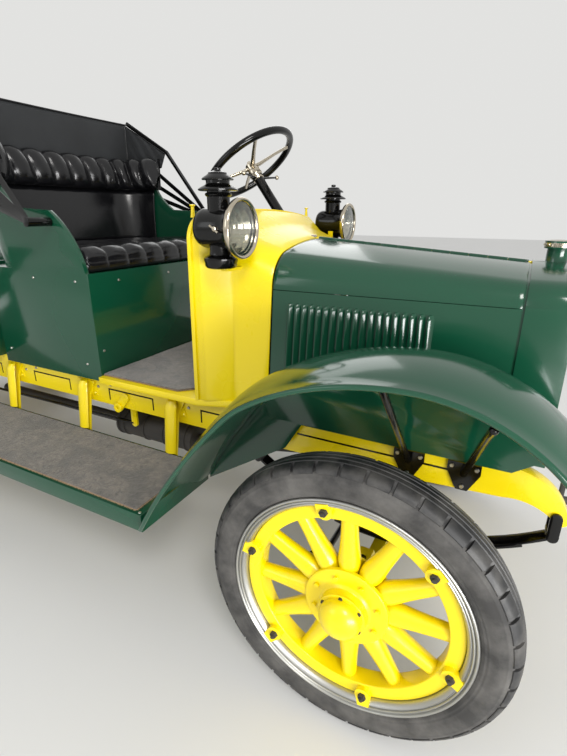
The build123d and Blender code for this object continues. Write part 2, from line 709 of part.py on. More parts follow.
# Cowl: flares from the hood's rear outline to the dash, then runs straight back
cowl_front_foot = (HOOD_REAR[0] + HOOD_SIDE_FLARE, FLOOR_Z + FLOOR_THICK)
cowl_mid_foot = (COWL_MID[0] + COWL_MID_FLARE, FLOOR_Z + FLOOR_THICK)
cowl_rear_foot = (COWL_REAR[0] + COWL_SIDE_FLARE, FLOOR_Z + FLOOR_THICK)
COWL_FRONT_X = HOOD_REAR_X - MOVE_GAP
with BuildPart() as cowl:
    front_plane = Plane.YZ.offset(COWL_FRONT_X)
    mid_plane = Plane.YZ.offset(COWL_MID_X)
    flare_plane = Plane.YZ.offset(COWL_REAR_X + COWL_STRAIGHT)
    bead_section = (COWL_REAR[0] + COWL_BEAD, COWL_REAR[1] + COWL_BEAD, COWL_REAR[2] + COWL_BEAD)
    bead_foot = (cowl_rear_foot[0] + COWL_BEAD, cowl_rear_foot[1])
    bead_plane = Plane.YZ.offset(COWL_REAR_X)
    extrude(arch_face(bead_plane, bead_section, COWL_SHOULDER_REAR_Z, bead_foot, 0), amount=COWL_BEAD_WIDTH)
    for inset, mode in ((0, Mode.ADD), (COWL_SHEET, Mode.SUBTRACT)):
        rear_face = arch_face(flare_plane, COWL_REAR, COWL_SHOULDER_REAR_Z, cowl_rear_foot, inset)
        mid_face = arch_face(mid_plane, COWL_MID, COWL_SHOULDER_MID_Z, cowl_mid_foot, inset)
        front_face = arch_face(front_plane, HOOD_REAR, SHOULDER_Z, cowl_front_foot, inset)
        loft([front_face, mid_face, rear_face], ruled=True, mode=mode)
        extrude(rear_face, amount=-COWL_STRAIGHT, mode=mode)
    # Centre hinge rod of the hood, from the cowl to the radiator shell on the hood's own hinge line
    hinge_fall = (HOOD_FRONT[1] - HOOD_REAR[1]) / (HOOD_FRONT_X - HOOD_REAR_X)
    hinge_ends = [
        (x, 0, HOOD_REAR[1] - HOOD_SHEET / 2 + hinge_fall * (x - HOOD_REAR_X))
        for x in (COWL_FRONT_X - 5, RADIATOR_BACK_X - SEAT_GAP)
    ]
    tapered_bar(*hinge_ends, HINGE_ROD_R, HINGE_ROD_R)
    # Lamp brackets
    for side in (-1, 1):
        box_between(
            (LAMP_X - 14, min(side * 380, side * LAMP_Y), 1258),
            (LAMP_X + 14, max(side * 380, side * LAMP_Y), 1266),
        )
save(cowl, "cowl")

# Steering column line, shared by everything that it passes through
RAKE = radians(COLUMN_RAKE)
COLUMN_UP = Vector(-sin(RAKE), 0, cos(RAKE))
WHEEL_CENTRE = Vector(WHEEL_AXIS_X, WHEEL_AXIS_Y, WHEEL_AXIS_Z)
COLUMN_TOP = WHEEL_CENTRE - COLUMN_UP * 45
COLUMN_FOOT = Vector(PITMAN_X, WHEEL_AXIS_Y, PITMAN_Z) + COLUMN_UP * 40
FLOOR_TOP_Z = FLOOR_Z + FLOOR_THICK


def column_hole():
    """Clear hole along the steering column."""
    tapered_bar(tuple(COLUMN_FOOT), tuple(COLUMN_TOP), COLUMN_R + 4, COLUMN_R + 4, Mode.SUBTRACT)


# Firewall at the cowl's front and instrument board under its rear rim
BOARD_THICK = 10
FIREWALL_X = COWL_FRONT_X - 6
with BuildPart() as dash:
    fit = COWL_SHEET + SEAT_GAP
    foot = (cowl_front_foot[0], FLOOR_TOP_Z)
    extrude(
        arch_face(Plane.YZ.offset(FIREWALL_X), HOOD_REAR, SHOULDER_Z, foot, fit),
        amount=-BOARD_THICK,
    )
    extrude(
        arch_face(Plane.YZ.offset(COWL_REAR_X + 25), COWL_REAR, COWL_SHOULDER_REAR_Z, cowl_rear_foot, fit),
        amount=-BOARD_THICK,
    )
    box_between((COWL_REAR_X, -480, 700), (COWL_REAR_X + 30, 480, 1290), Mode.SUBTRACT)
    column_hole()
save(dash, "dash")

# Floor with its sills and the sloping toe board
TOE_LOW_X = COWL_REAR_X - 40
TOE_HIGH_X = FIREWALL_X - BOARD_THICK - 6
TOE_RISE = 190
TOE_HALF = 366
with BuildPart() as floor:
    with BuildSketch(Plane.XY.offset(FLOOR_Z)):
        with BuildLine():
            front_y = cowl_front_foot[0] + SILL_OVERHANG
            mid_y = cowl_mid_foot[0] + SILL_OVERHANG
            rear_y = cowl_rear_foot[0] + SILL_OVERHANG
            Polyline(
                (COWL_FRONT_X, -front_y),
                (COWL_FRONT_X, front_y),
                (COWL_MID_X, mid_y),
                (COWL_REAR_X, rear_y),
                (SEAT_FRONT_X, rear_y),
                (SEAT_FRONT_X, -rear_y),
                (COWL_REAR_X, -rear_y),
                (COWL_MID_X, -mid_y),
                close=True,
            )
        make_face()
    extrude(amount=FLOOR_THICK)
    with BuildSketch(Plane.XZ.offset(TOE_HALF)):
        with BuildLine():
            Polyline(
                (TOE_LOW_X, FLOOR_TOP_Z),
                (TOE_HIGH_X, FLOOR_TOP_Z + TOE_RISE),
                (TOE_HIGH_X, FLOOR_TOP_Z + TOE_RISE - 20),
                (TOE_LOW_X + 30, FLOOR_TOP_Z),
                close=True,
            )
        make_face()
    extrude(amount=-2 * TOE_HALF)
    column_hole()
save(floor, "floor")

MAT_HALF = 440
MAT_FRONT_X = TOE_LOW_X - 4
with BuildPart() as floor_mat:
    with BuildSketch(Plane.XY.offset(FLOOR_TOP_Z + SEAT_GAP)):
        with BuildLine():
            Polyline(
                (SEAT_FRONT_X + 3, -MAT_HALF),
                (MAT_FRONT_X - 60, -MAT_HALF),
                (MAT_FRONT_X, -MAT_HALF + 60),
                (MAT_FRONT_X, MAT_HALF - 60),
                (MAT_FRONT_X - 60, MAT_HALF),
                (SEAT_FRONT_X + 3, MAT_HALF),
                close=True,
            )
        make_face()
    extrude(amount=MAT_THICK)
save(floor_mat, "floor_mat")

# Seat box, arms and back in one shell; the back leans and flares as it rises
SEAT_BACK_X = SEAT_FRONT_X - SEAT_BOX_DEPTH


def seat_band(z, front_x, outer_inset, inner_inset):
    """U-shaped band of the seat back at one height, open to the front."""
    share = (z - SEAT_TOP_Z) / (SEAT_BACK_TOP_Z - SEAT_TOP_Z)
    half = SEAT_BOX_HALF + SEAT_FLARE * share
    rear_x = SEAT_BACK_X - SEAT_LEAN * share
    with BuildSketch(Plane.XY.offset(z)) as band:
        with BuildLine():
            for inset in (outer_inset, inner_inset):
                side_y = half - inset
                back_x = rear_x + inset
                FilletPolyline(
                    (front_x, -side_y),
                    (back_x, -side_y),
                    (back_x, side_y),
                    (front_x, side_y),
                    radius=SEAT_CORNER_R - inset,
                )
            for side in (-1, 1):
                Line((front_x, side * (half - outer_inset)), (front_x, side * (half - inner_inset)))
        make_face()
    return band.sketch.face()


with BuildPart() as seat_body:
    loft(
        [
            seat_band(SEAT_TOP_Z, SEAT_FRONT_X, 0, SEAT_WALL),
            seat_band(SEAT_BACK_TOP_Z, SEAT_FRONT_X, 0, SEAT_WALL),
        ],
        ruled=True,
    )
    # Arm line seen from the side: an S curve up to the arm rest, then up to the back
    with BuildSketch(Plane.XZ):
        with BuildLine():
            arm_front = (SEAT_FRONT_X - 150, ARM_Z)
            arm_rear = (SEAT_FRONT_X - 320, ARM_Z + 8)
            back_top = (SEAT_FRONT_X - 480, SEAT_BACK_TOP_Z + 10)
            ThreePointArc((SEAT_FRONT_X - 12, SEAT_TOP_Z), (SEAT_FRONT_X - 62, ARM_Z - 92), arm_front)
            Line(arm_front, arm_rear)
            ThreePointArc(arm_rear, (SEAT_FRONT_X - 412, ARM_Z + 78), back_top)
            Polyline(
                back_top,
                (SEAT_FRONT_X + 20, SEAT_BACK_TOP_Z + 10),
                (SEAT_FRONT_X + 20, SEAT_TOP_Z),
                (SEAT_FRONT_X - 12, SEAT_TOP_Z),
            )
        make_face()
    extrude(amount=2 * SEAT_BOX_HALF, both=True, mode=Mode.SUBTRACT)
    # Box under the seat, open below
    box_between((SEAT_BACK_X, -SEAT_BOX_HALF, RAIL_TOP_Z), (SEAT_FRONT_X, SEAT_BOX_HALF, SEAT_TOP_Z))
    box_between(
        (SEAT_BACK_X + SEAT_WALL, -SEAT_BOX_HALF + SEAT_WALL, RAIL_TOP_Z - 1),
        (SEAT_FRONT_X - SEAT_WALL, SEAT_BOX_HALF - SEAT_WALL, SEAT_TOP_Z - SEAT_WALL),
        Mode.SUBTRACT,
    )
save(seat_body, "seat_body")

CUSHION_FRONT_X = SEAT_FRONT_X - 14
CUSHION_REAR_X = SEAT_BACK_X + SEAT_WALL + 12
CUSHION_HALF = SEAT_BOX_HALF - SEAT_WALL - 4
with BuildPart() as seat_cushion:
    with BuildSketch(Plane.XY.offset(SEAT_TOP_Z + SEAT_GAP)):
        with Locations(((CUSHION_FRONT_X + CUSHION_REAR_X) / 2, 0)):
            Rectangle(CUSHION_FRONT_X - CUSHION_REAR_X, 2 * CUSHION_HALF)
        fillet(vertices().group_by(Axis.X)[0], SEAT_CORNER_R - SEAT_WALL - 4)
    extrude(amount=CUSHION_THICK)
    chamfer(faces().sort_by(Axis.Z)[-1].edges(), 18)
save(seat_cushion, "seat_cushion")

ROLL_FRONT_X = SEAT_FRONT_X - 400
with BuildPart() as seat_back_cushion:
    near, far = SEAT_WALL + SEAT_GAP, SEAT_WALL + ROLL_THICK
    loft(
        [seat_band(ROLL_LOW_Z, ROLL_FRONT_X, near, far), seat_band(ROLL_HIGH_Z, ROLL_FRONT_X, near, far)],
        ruled=True,
    )
save(seat_back_cushion, "seat_back_cushion")

# Folded top: cloth bundle behind the seat with a side flap along each front iron
with BuildPart() as folded_top:
    with BuildSketch(Plane.XZ.offset(TOP_HALF)):
        with BuildLine():
            Polyline(
                (SEAT_FRONT_X - 705, 1905),
                (SEAT_FRONT_X - 700, 1560),
            )
            ThreePointArc(
                (SEAT_FRONT_X - 700, 1560), (SEAT_FRONT_X - 760, 1525), (SEAT_FRONT_X - 820, 1570)
            )
            ThreePointArc(
                (SEAT_FRONT_X - 820, 1570), (SEAT_FRONT_X - 855, 1720), (SEAT_FRONT_X - 790, 1850)
            )
            ThreePointArc(
                (SEAT_FRONT_X - 790, 1850), (SEAT_FRONT_X - 755, 1890), (SEAT_FRONT_X - 705, 1905)
            )
        make_face()
    extrude(amount=-2 * TOP_HALF)
    for y in (-TOP_HALF, TOP_HALF - 14):
        with BuildSketch(Plane.XZ.offset(-y)):
            with BuildLine():
                Polyline(
                    (SEAT_FRONT_X - 690, 1900),
                    (SEAT_FRONT_X - 425, 1735),
                    (SEAT_FRONT_X - 460, 1665),
                    (SEAT_FRONT_X - 720, 1640),
                    (SEAT_FRONT_X - 720, 1900),
                    close=True,
                )
            make_face()
        extrude(amount=-14)
save(folded_top, "folded_top")

# Flat irons of the top, fanned out from one pivot on each side of the seat
IRON_ENDS = (
    ((SEAT_FRONT_X - 425, 1745), (SEAT_FRONT_X - 700, 1905)),
    ((SEAT_FRONT_X - 780, 1835),),
    ((SEAT_FRONT_X - 815, 1725),),
    ((SEAT_FRONT_X - 800, 1600),),
)
with BuildPart() as top_irons:
    iron_plane = Plane.XZ.offset(TOP_HALF + SEAT_GAP + IRON_THICK / 2)
    for ends in IRON_ENDS:
        flat_bar([(PIVOT_X, PIVOT_Z), *ends], IRON_WIDE, IRON_THICK, iron_plane)
    seat_side = SEAT_BOX_HALF + SEAT_FLARE * (PIVOT_Z - SEAT_TOP_Z) / (SEAT_BACK_TOP_Z - SEAT_TOP_Z)
    tapered_bar(
        (PIVOT_X, -seat_side - 1.5, PIVOT_Z), (PIVOT_X, -TOP_HALF - SEAT_GAP - IRON_THICK - 8, PIVOT_Z), 16, 16
    )
    mirror(about=Plane.XZ)
save(top_irons, "top_irons")

# Load bed: planked floor on cross sills, board sides with flareboards, front board
BED_LENGTH = BED_FRONT_X - TAIL_X
BED_TOP_Z = BED_FLOOR_Z + BED_PLANK
GATE_X = TAIL_X + GATE_INSET
GATE_HINGE_X = GATE_X + 6
FLOOR_END_X = GATE_X + GATE_THICK + MOVE_GAP
with BuildPart() as bed_floor:
    floor_front_x = BED_FRONT_X - BED_WALL - SEAT_GAP
    box_between((FLOOR_END_X, -BED_HALF, BED_FLOOR_Z), (floor_front_x, BED_HALF, BED_TOP_Z))
    for i in range(CROSS_SILLS):
        x = TAIL_X + 60 + (BED_LENGTH - 160) * i / (CROSS_SILLS - 1)
        box_between((x, -BED_HALF, RAIL_TOP_Z), (x + 60, BED_HALF, BED_FLOOR_Z))
save(bed_floor, "bed_floor")

with BuildPart() as bed_sides:
    with BuildSketch(Plane.YZ.offset(TAIL_X)):
        with BuildLine():
            lip_y = BED_HALF + BED_WALL + FLARE_OUT
            lip_z = BED_SIDE_Z + FLARE_UP
            Polyline(
                (BED_HALF, BED_FLOOR_Z),
                (BED_HALF + BED_WALL, BED_FLOOR_Z),
                (BED_HALF + BED_WALL, BED_SIDE_Z),
                (lip_y, lip_z),
                (lip_y - FLARE_THICK * 0.5, lip_z + FLARE_THICK * 0.87),
                (BED_HALF, BED_SIDE_Z + 8),
                close=True,
            )
        make_face()
    extrude(amount=BED_LENGTH)
    # Stakes outside each side
    for i in range(4):
        x = TAIL_X + 90 + (BED_LENGTH - 240) * i / 3
        with BuildSketch(Plane.YZ.offset(x)):
            with BuildLine():
                Polyline(
                    (BED_HALF + BED_WALL, BED_FLOOR_Z - 20),
                    (BED_HALF + BED_WALL + 22, BED_FLOOR_Z - 20),
                    (BED_HALF + BED_WALL + 22, BED_SIDE_Z - 10),
                    (lip_y - 25, lip_z - 30),
                    (BED_HALF + BED_WALL, BED_SIDE_Z),
                    close=True,
                )
            make_face()
        extrude(amount=45)
    # Hole for the tailgate's pin
    hole_r = GATE_PIN_R + RUN_GAP
    hole_end = (GATE_HINGE_X, BED_HALF + GATE_PIN_DEPTH + 1, GATE_HINGE_Z)
    tapered_bar((GATE_HINGE_X, BED_HALF - 5, GATE_HINGE_Z), hole_end, hole_r, hole_r, Mode.SUBTRACT)
    mirror(about=Plane.XZ)
save(bed_sides, "bed_sides")

with BuildPart() as bed_front:
    box_between(
        (BED_FRONT_X - BED_WALL, -BED_HALF + SEAT_GAP, RAIL_TOP_Z),
        (BED_FRONT_X, BED_HALF - SEAT_GAP, BED_SIDE_Z + FLARE_UP),
    )
save(bed_front, "bed_front")

with BuildPart() as tailgate:
    gate_half = BED_HALF - MOVE_GAP
    box_between((GATE_X, -gate_half, GATE_HINGE_Z + 6), (GATE_X + GATE_THICK, gate_half, BED_SIDE_Z))
    for half, r in ((gate_half, GATE_ROD_R), (BED_HALF + GATE_PIN_DEPTH, GATE_PIN_R)):
        tapered_bar((GATE_HINGE_X, -half, GATE_HINGE_Z), (GATE_HINGE_X, half, GATE_HINGE_Z), r, r)
save(tailgate, "tailgate")


# Hood: a top panel and a louvred side panel on each side
def hood_top_face(x, section):
    """Sheet section of the left top panel, from the hinge rod to the shoulder."""
    outer = crown_points(*section, SHOULDER_Z, 0)
    inner = crown_points(*section, SHOULDER_Z, HOOD_SHEET)
    edge_y = HINGE_ROD_R + SEAT_GAP
    tops = []
    for half, r in ((outer, outer["crown_r"]), (inner, inner["crown_r"] - HOOD_SHEET)):
        tops.append((edge_y, half["crown_centre_z"] + (r**2 - edge_y**2) ** 0.5))
    with BuildSketch(Plane.YZ.offset(x)) as face:
        with BuildLine():
            for half, top in ((outer, tops[0]), (inner, tops[1])):
                ThreePointArc(top, half["crown_middle"], half["tangent"])
                ThreePointArc(half["tangent"], half["shoulder_middle"], half["shoulder"])
            Line(tops[0], tops[1])
            Line(outer["shoulder"], inner["shoulder"])
        make_face()
    return face.sketch.face()


shoulder_rear = (HOOD_REAR_X, HOOD_REAR[0] - HOOD_SHEET / 2, SHOULDER_Z)
shoulder_front = (HOOD_FRONT_X, HOOD_FRONT[0] - HOOD_SHEET / 2, SHOULDER_Z)
with BuildPart() as hood_top_left:
    loft([hood_top_face(HOOD_REAR_X, HOOD_REAR), hood_top_face(HOOD_FRONT_X, HOOD_FRONT)], ruled=True)
    tapered_bar(shoulder_rear, shoulder_front, HINGE_ROD_R, HINGE_ROD_R)
save(hood_top_left, "hood_top_left")

with BuildPart() as hood_top_right:
    mirror(hood_top_left.part, about=Plane.XZ)
save(hood_top_right, "hood_top_right")

# Plane of the left side panel: x along the shoulder, y up the panel, z inwards
side_along = Vector(*shoulder_front) - Vector(*shoulder_rear)
side_down = Vector(0, HOOD_SIDE_FLARE, HOOD_BOTTOM_Z - SHOULDER_Z)
side_plane = Plane(
    origin=(HOOD_REAR_X, HOOD_REAR[0], SHOULDER_Z),
    x_dir=side_along,
    z_dir=side_down.cross(side_along),
)


def on_side(x, z):
    """Local sketch point of the side panel at a given X and height."""
    share_x = (x - HOOD_REAR_X) / (HOOD_FRONT_X - HOOD_REAR_X)
    share_z = (SHOULDER_Z - z) / (SHOULDER_Z - HOOD_BOTTOM_Z)
    spot = side_plane.to_local_coords(Vector(*side_plane.origin) + side_along * share_x + side_down * share_z)
    return (spot.X, spot.Y)


# Louvres: rounded slots that rise towards the rear
LOUVRE_HEIGHT = LOUVRE_TOP_Z - LOUVRE_BOTTOM_Z
louvre_x = [LOUVRE_FIRST_X + LOUVRE_PITCH * i for i in range(LOUVRES)]
with BuildPart() as louvre_form:
    with BuildSketch(side_plane):
        for x in louvre_x:
            with Locations(on_side(x, (LOUVRE_TOP_Z + LOUVRE_BOTTOM_Z) / 2)):
                SlotOverall(LOUVRE_HEIGHT, LOUVRE_WIDTH, rotation=90)
    extrude(amount=-LOUVRE_RISE)
    wedge_foot = Plane(
        origin=side_plane.from_local_coords((0, on_side(0, LOUVRE_BOTTOM_Z)[1] - 5, 0)),
        x_dir=side_plane.x_dir,
        z_dir=side_plane.y_dir,
    )
    with BuildSketch(wedge_foot) as teeth:
        for x in louvre_x:
            middle = on_side(x, LOUVRE_TOP_Z)[0]
            with BuildLine():
                Polyline(
                    (middle - LOUVRE_WIDTH / 2, 0),
                    (middle - LOUVRE_WIDTH / 2, LOUVRE_RISE),
                    (middle + LOUVRE_WIDTH / 2, 0),
                    close=True,
                )
            make_face()
    extrude(teeth.sketch, amount=LOUVRE_HEIGHT + 10, mode=Mode.INTERSECT)

with BuildPart() as hood_side_left:
    with BuildSketch(side_plane):
        with BuildLine():
            panel_top = SHOULDER_Z - HINGE_ROD_R - SEAT_GAP
            Polyline(
                on_side(HOOD_REAR_X, panel_top),
                on_side(HOOD_FRONT_X, panel_top),
                on_side(HOOD_FRONT_X, HOOD_BOTTOM_Z),
                on_side(HOOD_REAR_X, HOOD_BOTTOM_Z),
                close=True,
            )
        make_face()
    extrude(amount=HOOD_SHEET)
    add(louvre_form.part)
save(hood_side_left, "hood_side_left")

with BuildPart() as hood_side_right:
    mirror(hood_side_left.part, about=Plane.XZ)
save(hood_side_right, "hood_side_right")


# Fenders: a crowned section turned about the centres of a few arcs, seen from the side
def fender_arcs(crown_x, crown_z, arcs, way, inner_y, flat_y):
    """Left fender from its crown forwards (way 1) or rearwards (way -1); arcs hold radius and turn."""
    lean = 0
    point = Vector(crown_x, 0, crown_z)
    for radius, turn in arcs:
        out = Vector(sin(radians(lean)), 0, cos(radians(lean)))
        centre = point - out * radius
        along = Vector(0, 1, 0).cross(out)
        mid_y = (inner_y + FENDER_OUTER_Y) / 2
        with BuildSketch(Plane(origin=point, x_dir=(0, 1, 0), z_dir=along)) as section:
            with BuildLine():
                outer_low = (FENDER_OUTER_Y, -FENDER_SHEET)
                ThreePointArc((FENDER_OUTER_Y, 0), (mid_y, FENDER_CROWN), (inner_y, 0))
                if flat_y < inner_y:
                    Polyline((inner_y, 0), (flat_y, 0), (flat_y, -FENDER_SHEET), (inner_y, -FENDER_SHEET))
                else:
                    Line((inner_y, 0), (inner_y, -FENDER_SHEET))
                ThreePointArc((inner_y, -FENDER_SHEET), (mid_y, FENDER_CROWN - FENDER_SHEET), outer_low)
                Line(outer_low, (FENDER_OUTER_Y, 0))
            make_face()
            with Locations((FENDER_OUTER_Y - 6, -FENDER_SHEET)):
                Circle(7)
        revolve(section.sketch, axis=Axis(centre, (0, way, 0)), revolution_arc=turn)
        lean += way * turn
        point = centre + Vector(sin(radians(lean)), 0, cos(radians(lean))) * radius
    return point


FRONT_ARCS_BACK = ((734, 31), (390, 16), (2280, 13.8))
FRONT_ARCS_AHEAD = ((420, 60),)
REAR_ARCS_BACK = ((560, 75),)
REAR_ARCS_AHEAD = ((560, 48), (2280, 10))
APRON_FOOT_Y = 430
APRON_HEIGHT = FRONT_CROWN_Z - RAIL_TOP_Z - FENDER_SHEET
apron_z = RAIL_TOP_Z + FENDER_SHEET
with BuildPart() as front_fenders:
    # Apron sheet: steep above the frame's top, upright below it
    with BuildSketch(Plane.YZ.offset(BOARD_FRONT_X - 60)):
        with BuildLine():
            lean_y = (FENDER_INNER_Y - APRON_FOOT_Y) * 1.15
            Polyline(
                (APRON_FOOT_Y, 420),
                (APRON_FOOT_Y, apron_z),
                (APRON_FOOT_Y + lean_y, apron_z + APRON_HEIGHT * 1.15),
                (APRON_FOOT_Y + lean_y + FENDER_SHEET, apron_z + APRON_HEIGHT * 1.15),
                (APRON_FOOT_Y + FENDER_SHEET, apron_z),
                (APRON_FOOT_Y + FENDER_SHEET, 420),
                close=True,
            )
        make_face()
    extrude(amount=1300)
    with BuildSketch(Plane.XZ.offset(-400)):
        with BuildLine():
            Polyline(
                (FRONT_X + 482, 893),
                (FRONT_X + 340, RAIL_TOP_Z),
                (FRONT_X - 285, RAIL_TOP_Z),
                (FRONT_X - 344, 677),
                (FRONT_X - 700, 445),
                (FRONT_X - 680, 468),
                (FRONT_X - 342, 930),
            )
            ThreePointArc((FRONT_X - 342, 930), (FRONT_X - 120, 1062), (FRONT_X + 120, FRONT_CROWN_Z - 2))
            ThreePointArc((FRONT_X + 120, FRONT_CROWN_Z - 2), (FRONT_X + 330, 1047), (FRONT_X + 482, 893))
        make_face()
    extrude(amount=-140, mode=Mode.INTERSECT)
    for arcs, way in ((FRONT_ARCS_BACK, -1), (FRONT_ARCS_AHEAD, 1)):
        fender_arcs(FRONT_CROWN_X, FRONT_CROWN_Z, arcs, way, FENDER_INNER_Y, APRON_FOOT_Y)
    # What lies inside the apron's sheet goes away
    with BuildSketch(Plane.YZ.offset(BOARD_FRONT_X - 60)):
        with BuildLine():
            Polyline(
                (APRON_FOOT_Y, apron_z),
                (APRON_FOOT_Y + lean_y, apron_z + APRON_HEIGHT * 1.15),
                (APRON_FOOT_Y - 60, apron_z + APRON_HEIGHT * 1.15),
                (APRON_FOOT_Y - 60, apron_z),
                close=True,
            )
        make_face()
    extrude(amount=1300, mode=Mode.SUBTRACT)
    # Flange on the rail's top
    box_between(
        (FRONT_X - 285, RAIL_OUTER_Y - 4, RAIL_TOP_Z),
        (FRONT_X + 340, APRON_FOOT_Y + FENDER_SHEET, apron_z),
    )
    box_between((BOARD_FRONT_X - 300, 400, 300), (BOARD_FRONT_X, 900, 700), Mode.SUBTRACT)
    mirror(about=Plane.XZ)
save(front_fenders, "front_fenders")

REAR_FENDER_INNER_Y = BED_HALF + BED_WALL + 22 + SEAT_GAP
with BuildPart() as rear_fenders:
    for arcs, way in ((REAR_ARCS_BACK, -1), (REAR_ARCS_AHEAD, 1)):
        fender_arcs(REAR_X, REAR_CROWN_Z, arcs, way, REAR_FENDER_INNER_Y, REAR_FENDER_INNER_Y)
    box_between((BOARD_REAR_X, 500, 300), (BOARD_REAR_X + 300, 900, 700), Mode.SUBTRACT)
    mirror(about=Plane.XZ)
save(rear_fenders, "rear_fenders")

# Running boards: trays with turned-down edges, and the mats on them
with BuildPart() as running_boards:
    box_between((BOARD_REAR_X, BOARD_INNER_Y, BOARD_LOW_Z), (BOARD_FRONT_X, BOARD_OUTER_Y, BOARD_TOP_Z))
    box_between(
        (BOARD_REAR_X + BOARD_SHEET, BOARD_INNER_Y + BOARD_SHEET, BOARD_LOW_Z - 1),
        (BOARD_FRONT_X - BOARD_SHEET, BOARD_OUTER_Y - BOARD_SHEET, BOARD_TOP_Z - BOARD_SHEET),
        Mode.SUBTRACT,
    )
    mirror(about=Plane.XZ)
save(running_boards, "running_boards")

STEP_MAT_MARGIN = 14
STEP_MAT_THICK = 7
with BuildPart() as step_mats:
    mat_z = BOARD_TOP_Z + SEAT_GAP
    box_between(
        (BOARD_REAR_X + STEP_MAT_MARGIN, BOARD_INNER_Y + STEP_MAT_MARGIN, mat_z),
        (BOARD_FRONT_X - STEP_MAT_MARGIN - 16, BOARD_OUTER_Y - STEP_MAT_MARGIN, mat_z + STEP_MAT_THICK),
    )
    mirror(about=Plane.XZ)
save(step_mats, "step_mats")

# Board irons: a riveted plate on the rail, a strap down to the board and an arm under it
STRAP_HALF = 19
with BuildPart() as board_irons:
    for x in BOARD_IRON_X:
        with BuildSketch(Plane.XZ.offset(-RAIL_OUTER_Y)) as plate:
            with BuildLine():
                Polyline((x - 52, 745), (x + 52, 745), (x + STRAP_HALF, 680), (x - STRAP_HALF, 680), close=True)
            make_face()
        extrude(plate.sketch, amount=-8)
        with BuildSketch(Plane.YZ.offset(x - STRAP_HALF)) as strap:
            with BuildLine():
                strap_y = BOARD_INNER_Y - SEAT_GAP
                Polyline(
                    (RAIL_OUTER_Y, 745),
                    (RAIL_OUTER_Y + 8, 745),
                    (RAIL_OUTER_Y + 8, 700),
                    (strap_y, 475),
                    (strap_y, BOARD_LOW_Z),
                    (BOARD_OUTER_Y - 20, BOARD_LOW_Z),
                    (BOARD_OUTER_Y - 20, BOARD_LOW_Z - 8),
                    (strap_y - 8, BOARD_LOW_Z - 8),
                    (strap_y - 8, 474),
                    (RAIL_OUTER_Y, 697),
                    close=True,
                )
            make_face()
        extrude(strap.sketch, amount=2 * STRAP_HALF)
    mirror(about=Plane.XZ)
save(board_irons, "board_irons")

# Fender irons: round rods from plates on the rails out under the fenders
FENDER_ROD_R = 10
IRON_ROUTES = (
    ((63, 413, 728), (40, 750, 1098)),
    ((221, 413, 726), (272, 600, 948), (280, 735, 1022)),
)
with BuildPart() as fender_irons:
    for route in IRON_ROUTES:
        x, low_y, low_z = route[0]
        with BuildSketch(Plane.XZ.offset(-RAIL_OUTER_Y)) as plate:
            with Locations((FRONT_X + x, low_z + 5)):
                Triangle(a=70, b=60, c=60, align=(Align.CENTER, Align.CENTER), rotation=180)
        extrude(plate.sketch, amount=-6)
        for start, end in zip(route, route[1:]):
            low = (FRONT_X + start[0], start[1], start[2])
            high = (FRONT_X + end[0], end[1], end[2])
            tapered_bar(low, high, FENDER_ROD_R, FENDER_ROD_R)
            with Locations(high):
                Sphere(FENDER_ROD_R)
    mirror(about=Plane.XZ)
save(fender_irons, "fender_irons")

# Cowl lamps: turned body with a cone and bezel towards the front, and a glass in the bezel
LAMP_PROFILE = (
    (0, 1266.3),
    (40, 1266.3),
    (54, 1276),
    (54, 1312),
    (45, 1320),
    (57.5, 1326),
    (57.5, 1444),
    (35, 1464),
    (35, 1474),
    (44, 1480),
    (44, 1485),
    (34, 1491),
    (34, 1514),
    (60, 1521),
    (60, 1526),
    (28, 1544),
    (0, 1554),
)
LENS_R = 76
with BuildPart() as lamp_bodies:
    for side in (-1, 1):
        lamp_plane = Plane(origin=(LAMP_X, side * LAMP_Y, 0), x_dir=(0, side, 0), z_dir=(side, 0, 0))
        with BuildSketch(lamp_plane) as lamp_profile:
            with BuildLine():
                Polyline(*LAMP_PROFILE, close=True)
            make_face()
        revolve(lamp_profile.sketch, axis=Axis((LAMP_X, side * LAMP_Y, 0), (0, 0, 1)))
        axis_y = side * LAMP_Y
        spots = [(x, axis_y, LAMP_AXIS_Z) for x in (LAMP_X, LENS_X - 26, LENS_X - 8, LENS_X)]
        tapered_bar(spots[0], spots[2], 48, BEZEL_R - 8)
        tapered_bar(spots[1], spots[3], BEZEL_R - 3, BEZEL_R)
        tapered_bar(spots[2], spots[3], LENS_R + SEAT_GAP, LENS_R + SEAT_GAP, Mode.SUBTRACT)
        tapered_bar(spots[0], spots[2], 30, LENS_R - 4, Mode.SUBTRACT)
save(lamp_bodies, "lamp_bodies")

with BuildPart() as lamp_lenses:
    for side in (-1, 1):
        back = (LENS_X - 8 + SEAT_GAP, side * LAMP_Y, LAMP_AXIS_Z)
        front = (LENS_X - 3, side * LAMP_Y, LAMP_AXIS_Z)
        tapered_bar(back, front, LENS_R, LENS_R)
save(lamp_lenses, "lamp_lenses")


# Steering column with its gear box on the left rail and the two hand levers
def on_column(distance):
    """Point on the column's line, measured upwards from the wheel's centre."""
    return tuple(WHEEL_CENTRE + COLUMN_UP * distance)


